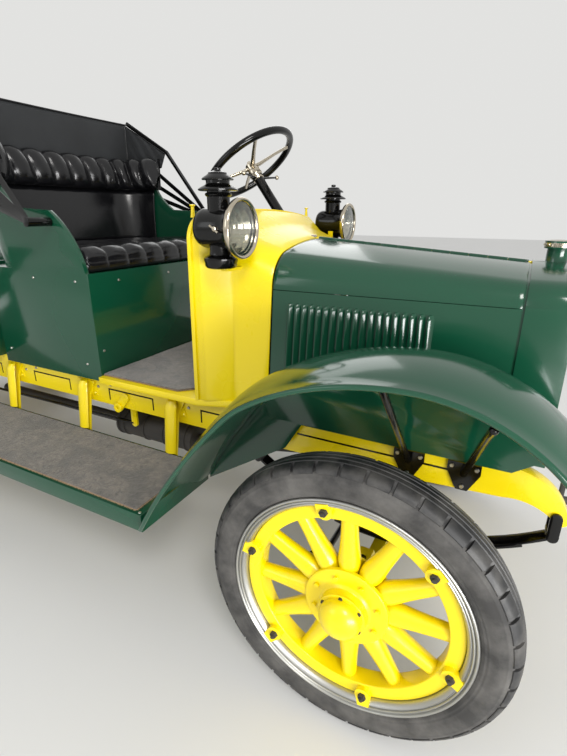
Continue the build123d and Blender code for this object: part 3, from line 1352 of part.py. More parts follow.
column_foot = WHEEL_CENTRE - COLUMN_UP * ((WHEEL_AXIS_Z - PITMAN_Z) / cos(RAKE))
GEAR_HALF = 40
PIN_R = 9
with BuildPart() as steering_column:
    tapered_bar(tuple(column_foot + COLUMN_UP * 15), on_column(-48), COLUMN_R, COLUMN_R)
    tapered_bar(on_column(-60), on_column(-10), PIN_R, PIN_R)
    box_between(
        (PITMAN_X - GEAR_HALF, 268, RAIL_TOP_Z - RAIL_DEPTH + 30),
        (PITMAN_X + GEAR_HALF, RAIL_OUTER_Y - RAIL_WALL - SEAT_GAP, RAIL_TOP_Z - RAIL_WALL - 5),
    )
    tapered_bar(
        (PITMAN_X, WHEEL_AXIS_Y + 20, PITMAN_Z),
        (PITMAN_X, RAIL_OUTER_Y, PITMAN_Z),
        PITMAN_SHAFT_R + RUN_GAP,
        PITMAN_SHAFT_R + RUN_GAP,
        Mode.SUBTRACT,
    )
    for side in (-1, 1):
        lever_foot = WHEEL_CENTRE - COLUMN_UP * 72
        lever_tip = lever_foot + Vector(COLUMN_UP.Z, 0, -COLUMN_UP.X) * 20 + Vector(0, side * 150, 0)
        tapered_bar(tuple(lever_foot), tuple(lever_tip), 5, 4)
        with Locations(tuple(lever_tip)):
            Sphere(9)
save(steering_column, "steering_column")

wheel_rim_plane = Plane(origin=WHEEL_CENTRE, x_dir=(0, 1, 0), z_dir=COLUMN_UP)
rim_section_plane = Plane(origin=WHEEL_CENTRE, x_dir=(0, 1, 0), z_dir=Vector(0, 1, 0).cross(COLUMN_UP))
with BuildPart() as steering_wheel:
    with BuildSketch(rim_section_plane) as rim_section:
        with Locations((STEERING_WHEEL_R - STEERING_RIM_R, 0)):
            RegularPolygon(STEERING_RIM_R, 10, rotation=18)
    revolve(rim_section.sketch, axis=Axis(WHEEL_CENTRE, COLUMN_UP))
    for i in range(4):
        turn = radians(45 + 90 * i)
        out = wheel_rim_plane.from_local_coords((cos(turn), sin(turn), 0)) - WHEEL_CENTRE
        tip = WHEEL_CENTRE + out * (STEERING_WHEEL_R - 1.5 * STEERING_RIM_R)
        tapered_bar(tuple(WHEEL_CENTRE - COLUMN_UP * 12), tuple(tip), 8, 8)
    tapered_bar(on_column(-40), on_column(6), 30, 26)
    tapered_bar(on_column(-41), on_column(-8), PIN_R + RUN_GAP, PIN_R + RUN_GAP, Mode.SUBTRACT)
save(steering_wheel, "steering_wheel")

# Pitman arm on its cross shaft, and the drag link to the left knuckle
LINK_Z = PITMAN_Z - PITMAN_LENGTH
with BuildPart() as pitman_arm:
    tapered_bar(
        (PITMAN_X, WHEEL_AXIS_Y + 21, PITMAN_Z), (PITMAN_X, DRAG_ARM_Y - 5, PITMAN_Z), PITMAN_SHAFT_R, PITMAN_SHAFT_R
    )
    flat_bar([(PITMAN_X, PITMAN_Z), (PITMAN_X, LINK_Z)], 34, 10, Plane.XZ.offset(-(DRAG_ARM_Y - 15)))
    tapered_bar((PITMAN_X, DRAG_ARM_Y - 15, LINK_Z), (PITMAN_X, DRAG_ARM_Y + 10, LINK_Z), 7, 7)
save(pitman_arm, "pitman_arm")

DRAG_ARM_LOW_Z = 505
DRAG_ARM_THICK = 12
with BuildPart() as drag_link:
    link_y = DRAG_ARM_Y + 1
    tapered_bar((PITMAN_X, link_y, LINK_Z), (FRONT_X, link_y, LINK_Z), LINK_R, LINK_R)
    with Locations(Location((PITMAN_X, link_y, LINK_Z), (90, 0, 0))):
        Cylinder(15, 18)
    with Locations((FRONT_X, link_y, LINK_Z)):
        Cylinder(16, 26)
    with Locations(Location((PITMAN_X, link_y, LINK_Z), (90, 0, 0))):
        Cylinder(7 + RUN_GAP, 30, mode=Mode.SUBTRACT)
save(drag_link, "drag_link")


# Steering knuckles with spindle, king pin and tie rod arm
def make_knuckle(name, side, with_drag_arm):
    pin_y = side * KINGPIN_Y
    boss_z = (BOSS_LOW_Z + BOSS_HIGH_Z) / 2
    with BuildPart() as knuckle:
        with Locations((FRONT_X, pin_y, boss_z)):
            Cylinder(BOSS_R, BOSS_HIGH_Z - BOSS_LOW_Z)
        pin_top = DRAG_ARM_LOW_Z + 2 if with_drag_arm else BOSS_HIGH_Z + EAR + 4
        tapered_bar((FRONT_X, pin_y, BOSS_LOW_Z - EAR - 4), (FRONT_X, pin_y, pin_top), KINGPIN_R, KINGPIN_R)
        spindle_r = SPINDLE_R - RUN_GAP
        tapered_bar(
            (FRONT_X, pin_y, boss_z), (FRONT_X, side * (TRACK / 2 + HUB_FRONT - 4), boss_z), spindle_r, spindle_r
        )
        with BuildSketch(Plane.XY.offset(boss_z - 12)):
            with BuildLine():
                Polyline(
                    (FRONT_X, pin_y - 16),
                    (FRONT_X, pin_y + 16),
                    (FRONT_X - STEER_ARM, pin_y + 12),
                    (FRONT_X - STEER_ARM, pin_y - 12),
                    close=True,
                )
            make_face()
            with Locations((FRONT_X - STEER_ARM, pin_y)):
                Circle(17)
        extrude(amount=24)
        with Locations((FRONT_X - STEER_ARM, pin_y, boss_z)):
            Cylinder(8 + RUN_GAP, 40, mode=Mode.SUBTRACT)
        if with_drag_arm:
            with BuildSketch(Plane.XY.offset(DRAG_ARM_LOW_Z)):
                with Locations((FRONT_X, pin_y)):
                    Circle(22)
                with Locations((FRONT_X, DRAG_ARM_Y)):
                    Circle(18)
                with Locations((FRONT_X, (pin_y + DRAG_ARM_Y) / 2)):
                    Rectangle(28, pin_y - DRAG_ARM_Y)
            extrude(amount=DRAG_ARM_THICK)
    save(knuckle, name)


make_knuckle("knuckle_left", 1, True)
make_knuckle("knuckle_right", -1, False)

TIE_Z = 372
with BuildPart() as tie_rod:
    tie_x = FRONT_X - STEER_ARM
    tapered_bar((tie_x, -KINGPIN_Y, TIE_Z), (tie_x, KINGPIN_Y, TIE_Z), 11, 11)
    for side in (-1, 1):
        tapered_bar((tie_x, side * KINGPIN_Y, TIE_Z - 14), (tie_x, side * KINGPIN_Y, TIE_Z + 14), 17, 17)
        tapered_bar((tie_x, side * KINGPIN_Y, TIE_Z), (tie_x, side * KINGPIN_Y, 443), 8, 8)
save(tie_rod, "tie_rod")

# Pedals on the toe board and the hand lever
toe_middle = ((TOE_LOW_X + TOE_HIGH_X) / 2, 0, FLOOR_TOP_Z + TOE_RISE / 2)
toe_up = Vector(-TOE_RISE, 0, TOE_HIGH_X - TOE_LOW_X)
with BuildPart() as pedals_levers:
    for pedal_y in (110, 190, 270):
        toe_plane = Plane(origin=(toe_middle[0], pedal_y, toe_middle[2]), x_dir=(0, 1, 0), z_dir=toe_up)
        foot = toe_plane.from_local_coords((0, 0, SEAT_GAP))
        pad = toe_plane.from_local_coords((0, 0, 70))
        tapered_bar(tuple(foot), tuple(pad), 8, 8)
        with Locations(toe_plane.offset(74).location):
            Box(56, 78, 8)
    lever_foot = (COWL_REAR_X - 110, 385, FLOOR_TOP_Z + MAT_THICK + 2 * SEAT_GAP)
    lever_top = (COWL_REAR_X - 170, 385, 1130)
    box_between(
        (lever_foot[0] - 30, lever_foot[1] - 14, lever_foot[2]),
        (lever_foot[0] + 30, lever_foot[1] + 14, lever_foot[2] + 40),
    )
    tapered_bar((lever_foot[0], lever_foot[1], lever_foot[2] + 20), lever_top, 8, 8)
    tapered_bar((lever_top[0] + 16, lever_top[1], lever_top[2] - 86), lever_top, 13, 13)
save(pedals_levers, "pedals_levers")

# Exhaust pipe, muffler and tail pipe
PIPE_Y = -250
EXHAUST_ROUTE = (
    (FRONT_X - 200, -125 - SEAT_GAP, 650),
    (FRONT_X - 200, -175, 650),
    (FRONT_X - 280, PIPE_Y, 600),
    (FRONT_X - 820, PIPE_Y, 500),
    (FRONT_X - 2200, PIPE_Y, 500),
)
with BuildPart() as exhaust:
    for start, end in zip(EXHAUST_ROUTE, EXHAUST_ROUTE[1:]):
        tapered_bar(start, end, 22, 22)
    for joint in EXHAUST_ROUTE[1:4]:
        with Locations(joint):
            Sphere(22)
    tapered_bar((FRONT_X - 860, PIPE_Y, 500), (FRONT_X - 1290, PIPE_Y, 500), 62, 62)
    box_between(
        (FRONT_X - 1290, PIPE_Y - 15, 540),
        (FRONT_X - 1270, PIPE_Y + 15, CROSS_LOW_Z - SEAT_GAP),
    )
save(exhaust, "exhaust")

# Brake cross shaft under the rails, its levers, and the rods to the rear axle
BRAKE_X = FRONT_X - 1150
BRAKE_Z = 702
with BuildPart() as brake_rods:
    shaft_end = CROSS_HALF_Y - SEAT_GAP
    tapered_bar((BRAKE_X, -shaft_end, BRAKE_Z), (BRAKE_X, shaft_end, BRAKE_Z), 12, 12)
    for side in (-1, 1):
        rod_y = side * 330
        flat_bar([(BRAKE_X, BRAKE_Z), (BRAKE_X, 545)], 32, 10, Plane.XZ.offset(-rod_y))
        eye_y = side * (RAIL_OUTER_Y + SEAT_GAP + 4)
        flat_bar([(BRAKE_X, BRAKE_Z - 50), (BRAKE_X + 40, BRAKE_Z)], 36, 8, Plane.XZ.offset(-eye_y))
        tapered_bar((BRAKE_X, rod_y, 545), (REAR_X + 8 + SEAT_GAP, rod_y, 510), 6, 6)
save(brake_rods, "brake_rods")
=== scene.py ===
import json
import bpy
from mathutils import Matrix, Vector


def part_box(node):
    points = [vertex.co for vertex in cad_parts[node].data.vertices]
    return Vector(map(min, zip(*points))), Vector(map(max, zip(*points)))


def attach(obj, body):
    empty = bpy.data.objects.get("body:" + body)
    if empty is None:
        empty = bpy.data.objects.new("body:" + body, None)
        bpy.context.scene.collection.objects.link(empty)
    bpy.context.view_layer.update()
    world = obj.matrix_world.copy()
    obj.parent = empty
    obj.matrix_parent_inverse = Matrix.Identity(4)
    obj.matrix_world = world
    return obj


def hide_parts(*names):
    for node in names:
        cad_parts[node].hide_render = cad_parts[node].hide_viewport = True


bl_info = {
    "name": "Light Truck of 1915",
    "version": (1, 0, 0),
    "blender": (4, 5, 0),
    "location": "3D View > Sidebar > Truck",
    "description": "Dresses the packed light truck with its finishes, upholstery, tread, rivets and trim",
    "category": "Object",
}

from math import atan2, cos, pi, radians, sin

import bmesh
import bpy
from mathutils import Matrix, Vector, noise

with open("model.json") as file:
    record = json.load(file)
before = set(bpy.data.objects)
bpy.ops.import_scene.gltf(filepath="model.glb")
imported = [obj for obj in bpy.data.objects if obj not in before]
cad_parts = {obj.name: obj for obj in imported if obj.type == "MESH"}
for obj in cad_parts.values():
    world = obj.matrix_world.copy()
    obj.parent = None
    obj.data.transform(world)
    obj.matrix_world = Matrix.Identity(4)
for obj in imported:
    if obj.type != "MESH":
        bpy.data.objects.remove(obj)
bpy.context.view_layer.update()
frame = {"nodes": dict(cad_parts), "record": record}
PICTURE = (567, 756)
SIDES = (("right", -1), ("left", 1))
ENDS = ("front", "rear")


def middle(node):
    """Middle of a CAD node's box at rest."""
    low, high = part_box(node)
    return (low + high) / 2


# Places that the pieces share, in metres, taken from the frame
FRONT_X = middle("tyre_front_right").x
TYRE_R = middle("tyre_front_right").z
TRACK_HALF = middle("tyre_front_left").y
RAIL_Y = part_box("frame_rails")[1].y
HOOD_REAR_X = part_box("hood_side_left")[0].x
HOOD_FRONT_X = FRONT_X + 0.295
HOOD_LOW_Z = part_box("hood_side_left")[0].z
SEAT_FRONT_X = FRONT_X - 1.18
BOARD_IRON_X = (0.909, 0.42, -0.075, -0.565)
FENDER_PLATE_X = (FRONT_X + 0.063, FRONT_X + 0.221)
STEER_CENTRE = Vector((FRONT_X - 0.909, 0.3, 1.636))
STEER_UP = Vector((-0.5976, 0, 0.8018))

# The hood narrows and falls towards the radiator: half width, crown and shoulder height at its rear
HOOD_HALF = 0.359
HOOD_CROWN_Z = 1.342
HOOD_SHOULDER_Z = 1.196
HOOD_LENGTH = 0.725
HOOD_NARROWS = 0.034
HOOD_FALLS = 0.052
LOUVRE_LOW_Z = 0.885
LOUVRE_HIGH_Z = 1.16
LOUVRE_FIRST_X = FRONT_X - 0.362

# Doubled points closer than this are one
MERGE = 2e-5


# Node helper and colour
def linear(hex_colour):
    """An sRGB hex colour as Blender's linear RGB."""
    channels = [int(hex_colour[i : i + 2], 16) / 255 for i in (1, 3, 5)]
    return tuple(c / 12.92 if c <= 0.04045 else ((c + 0.055) / 1.055) ** 2.4 for c in channels)


def rgba(colour):
    """A colour of three numbers with full opacity."""
    return (*tuple(colour)[:3], 1.0)


def add(tree, kind, inputs=None, **settings):
    """Add one node with its settings; an input is a value or the socket that it is linked from."""
    made = tree.nodes.new(kind)
    for name, value in settings.items():
        setattr(made, name, value)
    for key, value in (inputs or {}).items():
        if isinstance(value, bpy.types.NodeSocket):
            tree.links.new(value, made.inputs[key])
        else:
            made.inputs[key].default_value = value
    return made


# Property groups
class TruckPaints(bpy.types.PropertyGroup):
    """Colours of the truck's finishes."""

    yellow: bpy.props.FloatVectorProperty(
        name="Chassis yellow", description="Enamel of wheels, frame and cowl", subtype="COLOR", size=3,
        min=0, max=1, default=linear("#EED800"),
    )
    green: bpy.props.FloatVectorProperty(
        name="Body green", description="Enamel of hood, fenders, seat box and bed", subtype="COLOR", size=3,
        min=0, max=1, default=linear("#0B442E"),
    )
    black: bpy.props.FloatVectorProperty(
        name="Black enamel", description="Enamel of lamps, column and irons", subtype="COLOR", size=3,
        min=0, max=1, default=linear("#060606"),
    )
    leather: bpy.props.FloatVectorProperty(
        name="Leather", description="Black upholstery leather", subtype="COLOR", size=3,
        min=0, max=1, default=linear("#0D0D0F"),
    )
    cloth: bpy.props.FloatVectorProperty(
        name="Top cloth", description="Rubberised cloth of the folded top", subtype="COLOR", size=3,
        min=0, max=1, default=linear("#1E2022"),
    )
    carpet: bpy.props.FloatVectorProperty(
        name="Carpet", description="Grey brown pile of the step and floor mats", subtype="COLOR", size=3,
        min=0, max=1, default=linear("#5A534A"),
    )


class WheelSizes(bpy.types.PropertyGroup):
    """Sizes of the wooden wheels and their tyres."""

    spokes: bpy.props.IntProperty(name="Spokes", description="Spokes in a wheel", default=12, min=6, max=20)
    lugs: bpy.props.IntProperty(
        name="Rim lugs", description="Clamps that hold the rim", default=6, min=4, max=12,
    )
    notches: bpy.props.IntProperty(
        name="Tread notches", description="Notches around each shoulder of the tread", default=40, min=12,
        max=72
    )
    notch_depth: bpy.props.FloatProperty(
        name="Notch depth", description="How deep the tread's notches are cut", default=0.006,
        min=0, max=0.012, unit="LENGTH",
    )


class HoodSizes(bpy.types.PropertyGroup):
    """Sizes of the hood's louvres."""

    louvres: bpy.props.IntProperty(
        name="Louvres", description="Louvres in each side", default=19, min=1, max=24,
    )
    pitch: bpy.props.FloatProperty(
        name="Louvre pitch", description="Distance from louvre to louvre", default=0.024, min=0.018,
        unit="LENGTH"
    )
    rise: bpy.props.FloatProperty(
        name="Louvre rise", description="How far a louvre stands proud", default=0.0122, min=0.002,
        unit="LENGTH"
    )
    width: bpy.props.FloatProperty(
        name="Louvre width", description="Width of one louvre", default=0.0195, min=0.004, unit="LENGTH"
    )


class UpholsterySizes(bpy.types.PropertyGroup):
    """Sizes of the pleated cushions."""

    pleat: bpy.props.FloatProperty(
        name="Pleat width", description="Width of one stuffed pleat", default=0.107, min=0.03, unit="LENGTH"
    )
    puff: bpy.props.FloatProperty(
        name="Pleat crown", description="How far a pleat swells", default=0.017, min=0, max=0.03,
        unit="LENGTH"
    )


class StageSettings(bpy.types.PropertyGroup):
    """Floor, lights and camera."""

    floor: bpy.props.FloatVectorProperty(
        name="Floor", description="Colour of the plain floor", subtype="COLOR", size=3,
        min=0, max=1, default=linear("#DCDCDA"),
    )
    ambient: bpy.props.FloatProperty(
        name="Ambient", description="Strength of the sky's light", default=0.8, min=0,
    )
    key: bpy.props.FloatProperty(
        name="Key", description="Power of the main light in watts", default=210.0, min=0,
    )


# Materials: each is made once, on first use
def start_material(name):
    """An empty node material with its tree and its object coordinates."""
    made = bpy.data.materials.new(name)
    made.use_nodes = True
    made.node_tree.nodes.clear()
    return made, made.node_tree, add(made.node_tree, "ShaderNodeTexCoord").outputs["Object"]


def cloud(tree, place, scale, **more):
    """Factor of a noise texture at a scale in waves per metre."""
    return add(tree, "ShaderNodeTexNoise", {"Vector": place, "Scale": scale, **more}).outputs["Fac"]


def spread(tree, value, low, high, start=0.0, end=1.0):
    """The part of a value between two limits, stretched to a range."""
    limits = {"Value": value, "From Min": low, "From Max": high, "To Min": start, "To Max": end}
    return add(tree, "ShaderNodeMapRange", limits).outputs["Result"]


def mix(tree, share, first, second):
    """A colour between two, each a hex colour, a list of numbers or a socket."""
    pair = []
    for colour in (first, second):
        if isinstance(colour, str):
            colour = linear(colour)
        pair.append(colour if isinstance(colour, bpy.types.NodeSocket) else rgba(colour))
    inputs = {"Fac": share, "Color1": pair[0], "Color2": pair[1]}
    return add(tree, "ShaderNodeMixRGB", inputs).outputs["Color"]


def relief(tree, height, strength, distance):
    """Normal of a surface that a height bumps."""
    values = {"Height": height, "Strength": strength, "Distance": distance}
    return add(tree, "ShaderNodeBump", values).outputs["Normal"]


def combine(tree, first, second, operation):
    """Two values added, multiplied or compared."""
    return add(tree, "ShaderNodeMath", {0: first, 1: second}, operation=operation).outputs[0]


def close_material(made, tree, colour, roughness, more=None):
    """End a material with one principled shader and its inputs."""
    inputs = {"Base Color": colour, "Roughness": roughness, **(more or {})}
    shader = add(tree, "ShaderNodeBsdfPrincipled", inputs)
    add(tree, "ShaderNodeOutputMaterial", {"Surface": shader.outputs[0]})
    return made


def enamel(name, colour, dull, roughness, shine=0.5):
    """Brushed and varnished coach enamel: even deep colour, slight cloudiness and a wet clear gloss."""
    made, tree, place = start_material(name)
    # Dust film settles in patches some 300 mm across
    patches = cloud(tree, place, 3.5, Detail=4.0, Roughness=0.55)
    tone = mix(tree, patches, colour, dull)
    # Orange peel of about 5 mm with brush marks finer than 1 mm left out
    peel = relief(tree, cloud(tree, place, 210.0, Detail=1.0), 0.05, 0.001)
    wear = spread(tree, patches, 0.3, 0.75, roughness, roughness + 0.13)
    return close_material(made, tree, tone, wear, {
        "Normal": peel, "IOR": 1.5, "Specular IOR Level": shine, "Coat Weight": 0.5 * shine,
        "Coat Roughness": 0.06,
    })


def yellow_enamel():
    """Chrome yellow coach enamel, bright, warm and a little chalky in its shadows."""
    colour = bpy.context.scene.truck_paints.yellow
    return enamel("yellow_coach_enamel", colour, [c * f for c, f in zip(colour, (0.93, 0.86, 1.0))], 0.24)


def green_enamel():
    """Brewster green coach enamel, almost black where it turns away, with a clear reflection."""
    colour = bpy.context.scene.truck_paints.green
    return enamel("green_coach_enamel", colour, [c * 0.78 + 0.002 for c in colour], 0.1)


def black_enamel():
    """Black stoving enamel, a hard gloss with hardly any colour of its own."""
    colour = bpy.context.scene.truck_paints.black
    return enamel("black_stoving_enamel", colour, [c + 0.001 for c in colour], 0.09, 0.28)


def metal(name, colour, roughness, uneven, grain):
    """A metal with a faint uneven polish; the default index of refraction stays."""
    made, tree, place = start_material(name)
    speck = cloud(tree, place, grain, Detail=3.0)
    polish = spread(tree, speck, 0.3, 0.7, roughness, roughness + uneven)
    return close_material(made, tree, rgba(linear(colour)), polish, {
        "Metallic": 1.0, "Normal": relief(tree, speck, 0.06, 0.0005),
    })


def nickel_plate():
    """Polished nickel plate on brass, a warm mirror dulled by age."""
    return metal("polished_nickel_plate", "#C4BAA8", 0.14, 0.1, 22.0)


def bright_steel():
    """Zinc bright steel of bolts and nuts, finely machined."""
    return metal("machined_bright_steel", "#B9B7B1", 0.28, 0.15, 300.0)


def rim_aluminium():
    """Steel rim brushed with aluminium paint: a silver grey with flake that scatters the light."""
    return metal("aluminium_painted_steel", "#B4B4B0", 0.33, 0.16, 420.0)


def cast_iron():
    """Painted cast iron with the sand skin of its mould."""
    made, tree, place = start_material("painted_cast_iron")
    sand = cloud(tree, place, 380.0, Detail=4.0)
    tone = mix(tree, cloud(tree, place, 6.0, Detail=5.0), "#2B2B2C", "#45403A")
    return close_material(
        made, tree, tone, 0.62, {"Metallic": 0.25, "Normal": relief(tree, sand, 0.35, 0.001)},
    )


def tread_rubber():
    """Tread of the tyre: black rubber dulled by the road, with dust in its grooves."""
    made, tree, place = start_material("worn_tread_rubber")
    dust = cloud(tree, place, 14.0, Detail=7.0, Roughness=0.6)
    tone = mix(tree, spread(tree, dust, 0.42, 0.72), "#1D1D1E", "#4C4A47")
    return close_material(made, tree, tone, 0.5, {"IOR": 1.52, "Normal": relief(tree, dust, 0.2, 0.001)})


def tyre_rubber():
    """Moulded natural rubber tyre, grey with trodden dust and rubbed darker in places."""
    made, tree, place = start_material("dusty_moulded_rubber")
    dust = cloud(tree, place, 9.0, Detail=8.0, Roughness=0.62)
    fine = cloud(tree, place, 260.0, Detail=3.0)
    tone = mix(tree, spread(tree, dust, 0.38, 0.66), "#302F2E", "#575552")
    return close_material(made, tree, tone, 0.78, {"IOR": 1.52, "Normal": relief(tree, fine, 0.25, 0.0008)})


def black_leather():
    """Dressed black hide with a pebble grain of about 2 mm, glossy on the crowns and dull in the seams."""
    made, tree, place = start_material("black_dressed_hide")
    grain = add(tree, "ShaderNodeTexVoronoi", {"Vector": place, "Scale": 420.0}, feature="DISTANCE_TO_EDGE")
    crease = cloud(tree, place, 34.0, Detail=6.0, Distortion=0.8)
    height = combine(tree, grain.outputs["Distance"], crease, "ADD")
    colour = bpy.context.scene.truck_paints.leather
    tone = mix(tree, crease, colour, [c * 1.6 + 0.001 for c in colour])
    return close_material(made, tree, tone, spread(tree, crease, 0.35, 0.7, 0.17, 0.27), {
        "Normal": relief(tree, height, 0.1, 0.0012),
        "Coat Weight": 0.12, "Coat Roughness": 0.18, "Specular IOR Level": 0.38,
    })


def top_cloth():
    """Rubberised black drill: a plain twill drawn at 3 mm so that it shows, matt with a faint bloom."""
    made, tree, place = start_material("rubberised_black_drill")
    threads = []
    for way in "YZ":
        thread = {"Vector": place, "Scale": 105.0, "Distortion": 0.6}
        threads.append(add(tree, "ShaderNodeTexWave", thread, bands_direction=way).outputs["Fac"])
    weave = combine(tree, *threads, "MULTIPLY")
    colour = bpy.context.scene.truck_paints.cloth
    bloom = cloud(tree, place, 7.0, Detail=6.0)
    tone = mix(tree, bloom, [c * 0.6 for c in colour], [c * 1.7 for c in colour])
    return close_material(made, tree, tone, 0.66, {
        "Normal": relief(tree, weave, 0.3, 0.0008), "Sheen Weight": 0.25, "Sheen Roughness": 0.4,
    })


def carpet_pile():
    """Matted wool pile, grey brown with lighter and darker tufts of 4 to 8 mm."""
    made, tree, place = start_material("matted_wool_pile")
    tuft = cloud(tree, place, 46.0, Detail=10.0, Roughness=0.8, Distortion=1.6)
    patch = cloud(tree, place, 8.0, Detail=6.0, Distortion=1.4)
    colour = bpy.context.scene.truck_paints.carpet
    dark, light = [c * 0.16 for c in colour], [min(1, c * 1.75) for c in colour]
    tone = mix(tree, spread(tree, tuft, 0.38, 0.62), dark, light)
    worn = mix(tree, spread(tree, patch, 0.42, 0.66, 0.0, 0.75), tone, "#2E2B28")
    return close_material(made, tree, worn, 0.95, {
        "Normal": relief(tree, tuft, 0.9, 0.004), "Sheen Weight": 0.4, "Sheen Roughness": 0.6,
    })


def jute_edge():
    """Cut jute backing along the carpets' edges, tan and frayed."""
    made, tree, place = start_material("cut_jute_edge")
    tone = mix(tree, cloud(tree, place, 500.0, Detail=4.0), "#6F5A44", "#B79A78")
    return close_material(made, tree, tone, 0.95)


def oak_planks():
    """Varnished white oak: long grain along the bed, rings of 4 to 9 mm and a satin varnish."""
    made, tree, place = start_material("varnished_white_oak")
    grain = add(tree, "ShaderNodeMapping", {"Vector": place, "Scale": (1.0, 14.0, 14.0)}).outputs["Vector"]
    rings = add(
        tree, "ShaderNodeTexWave",
        {"Vector": grain, "Scale": 1.7, "Distortion": 7.0, "Detail": 3.0, "Detail Scale": 1.2},
        bands_direction="Y",
    )
    fibre = cloud(tree, grain, 24.0, Detail=6.0)
    tone = mix(tree, combine(tree, rings.outputs["Fac"], fibre, "MULTIPLY"), "#7E5530", "#BE935C")
    return close_material(made, tree, tone, 0.42, {
        "Normal": relief(tree, fibre, 0.15, 0.001), "Coat Weight": 0.3, "Coat Roughness": 0.2,
    })


def lamp_glass():
    """Pressed soda glass of the lamp fronts, clear with slight ripples."""
    made, tree, place = start_material("pressed_soda_glass")
    ripple = relief(tree, cloud(tree, place, 45.0, Detail=1.0), 0.1, 0.001)
    return close_material(made, tree, rgba(linear("#EEF2F0")), 0.02, {
        "IOR": 1.52, "Transmission Weight": 1.0, "Normal": ripple,
    })


def painted_shade_opening():
    """Near-black matt colour: painted shade in the louvres' mouths, and on the radiator core partly black
    paint, partly painted shade between its tubes.
    """
    made, tree, place = start_material("black_paint_and_painted_shade")
    tone = mix(tree, cloud(tree, place, 90.0, Detail=2.0), "#070808", "#121314")
    return close_material(made, tree, tone, 0.8)


MATERIAL_MAKERS = {
    "yellow": yellow_enamel,
    "green": green_enamel,
    "black": black_enamel,
    "nickel": nickel_plate,
    "steel": bright_steel,
    "rim": rim_aluminium,
    "iron": cast_iron,
    "tyre": tyre_rubber,
    "tread": tread_rubber,
    "leather": black_leather,
    "cloth": top_cloth,
    "mat": carpet_pile,
    "jute": jute_edge,
    "wood": oak_planks,
    "glass": lamp_glass,
    # The near-black finish paints shade into the louvres' mouths and between the radiator's tubes
    "dark": painted_shade_opening,
}
made_materials = {}


def material(name):
    """The finish of that name, made when it is first asked for."""
    if name not in made_materials:
        made_materials[name] = MATERIAL_MAKERS[name]()
    return made_materials[name]


# Which finish each CAD node that stays in view takes
CAD_FINISH = {
    "yellow": (
        "frame_rails", "frame_crossmembers", "front_axle", "rear_axle", "board_irons", "brake_rods",
        "cowl", "floor",
    ),
    "green": (
        "seat_body", "front_fenders", "rear_fenders", "running_boards", "bed_sides", "bed_front", "tailgate",
        "radiator_shell",
    ),
    "black": (
        "leaf_springs", "top_irons", "fender_irons", "steering_column", "dash", "pedals_levers",
        "knuckle_left", "knuckle_right", "tie_rod", "drag_link", "pitman_arm",
    ),
    "iron": ("engine", "exhaust"),
    # The radiator core's near-black is partly black paint and partly painted shade between its tubes
    "dark": ("radiator_core",),
    "wood": ("bed_floor",),
}
BODY_OF = {node: body for body, nodes in frame["record"]["behaviour"]["bodies"].items() for node in nodes}


# Mesh makers
def clean(mesh, sharp=32):
    """Merge doubled points, turn faces outwards and shade smooth up to a sharp angle in degrees."""
    shape = bmesh.new()
    shape.from_mesh(mesh)
    bmesh.ops.remove_doubles(shape, verts=shape.verts, dist=MERGE)
    bmesh.ops.dissolve_degenerate(shape, dist=1e-6, edges=shape.edges)
    bmesh.ops.recalc_face_normals(shape, faces=shape.faces)
    shape.to_mesh(mesh)
    shape.free()
    mesh.shade_smooth()
    mesh.set_sharp_from_angle(angle=radians(sharp))
    return mesh


def build(name, parts, sharp=32):
    """One mesh from parts, each a list of points and a list of faces."""
    points, faces = [], []
    for part_points, part_faces in parts:
        first = len(points)
        points.extend(part_points)
        faces.extend([tuple(first + i for i in face) for face in part_faces])
    mesh = bpy.data.meshes.new(name)
    mesh.from_pydata([tuple(p) for p in points], [], faces)
    return clean(mesh, sharp)


def piece(name, mesh, finish, body, replaced=()):
    """A finished object that rides on a body and, where named, stands for CAD nodes."""
    made = bpy.data.objects.new(name, mesh)
    bpy.context.scene.collection.objects.link(made)
    mesh.materials.clear()
    mesh.materials.append(material(finish))
    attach(made, body)
    if replaced:
        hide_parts(*replaced)
    return made


def lathe(profile, start, axis, steps=64):
    """Turn a closed profile of (radius, distance) points about an axis that starts at a point."""
    along = Vector(axis).normalized()
    across = along.orthogonal().normalized()
    third = along.cross(across)
    points, faces = [], []
    for i in range(steps):
        turn = 2 * pi * i / steps
        out = across * cos(turn) + third * sin(turn)
        points.extend(Vector(start) + along * d + out * r for r, d in profile)
    count = len(profile)
    for i in range(steps):
        j = (i + 1) % steps
        for k in range(count):
            m = (k + 1) % count
            if profile[k][0] > 1e-7 or profile[m][0] > 1e-7:
                faces.append((i * count + k, j * count + k, j * count + m, i * count + m))
    return points, faces


def rounded(profile, radius, steps=3):
    """The closed profile with its corners rounded by up to a radius."""
    result = []
    count = len(profile)
    for i, (r, d) in enumerate(profile):
        here = Vector((r, d))
        before, after = Vector(profile[i - 1]), Vector(profile[(i + 1) % count])
        reach = min(radius, (before - here).length * 0.45, (after - here).length * 0.45)
        if r < 1e-7 or reach < 1e-6:
            result.append((r, d))
            continue
        first = here + (before - here).normalized() * reach
        last = here + (after - here).normalized() * reach
        for k in range(steps + 1):
            t = k / steps
            spot = first * (1 - t) ** 2 + here * (2 * t * (1 - t)) + last * t**2
            result.append((max(spot.x, 0.0), spot.y))
    return result


def tube(path, radii, sides=12, wide=1.0, up=None):
    """A closed tube along points, with a radius at each; wide stretches it across the up direction."""
    points = []
    path = [Vector(p) for p in path]
    guide = Vector(up) if up else None
    for i, spot in enumerate(path):
        run = (path[min(i + 1, len(path) - 1)] - path[max(i - 1, 0)]).normalized()
        if guide is None or abs(run.dot(guide)) > 0.99:
            guide = run.orthogonal()
        high = (guide - run * guide.dot(run)).normalized()
        if not up:
            guide = high
        across = run.cross(high)
        for k in range(sides):
            turn = 2 * pi * k / sides
            points.append(spot + across * cos(turn) * radii[i] * wide + high * sin(turn) * radii[i])
    faces = belts(len(path), sides)
    faces.append(tuple(reversed(range(sides))))
    faces.append(tuple((len(path) - 1) * sides + k for k in range(sides)))
    return points, faces


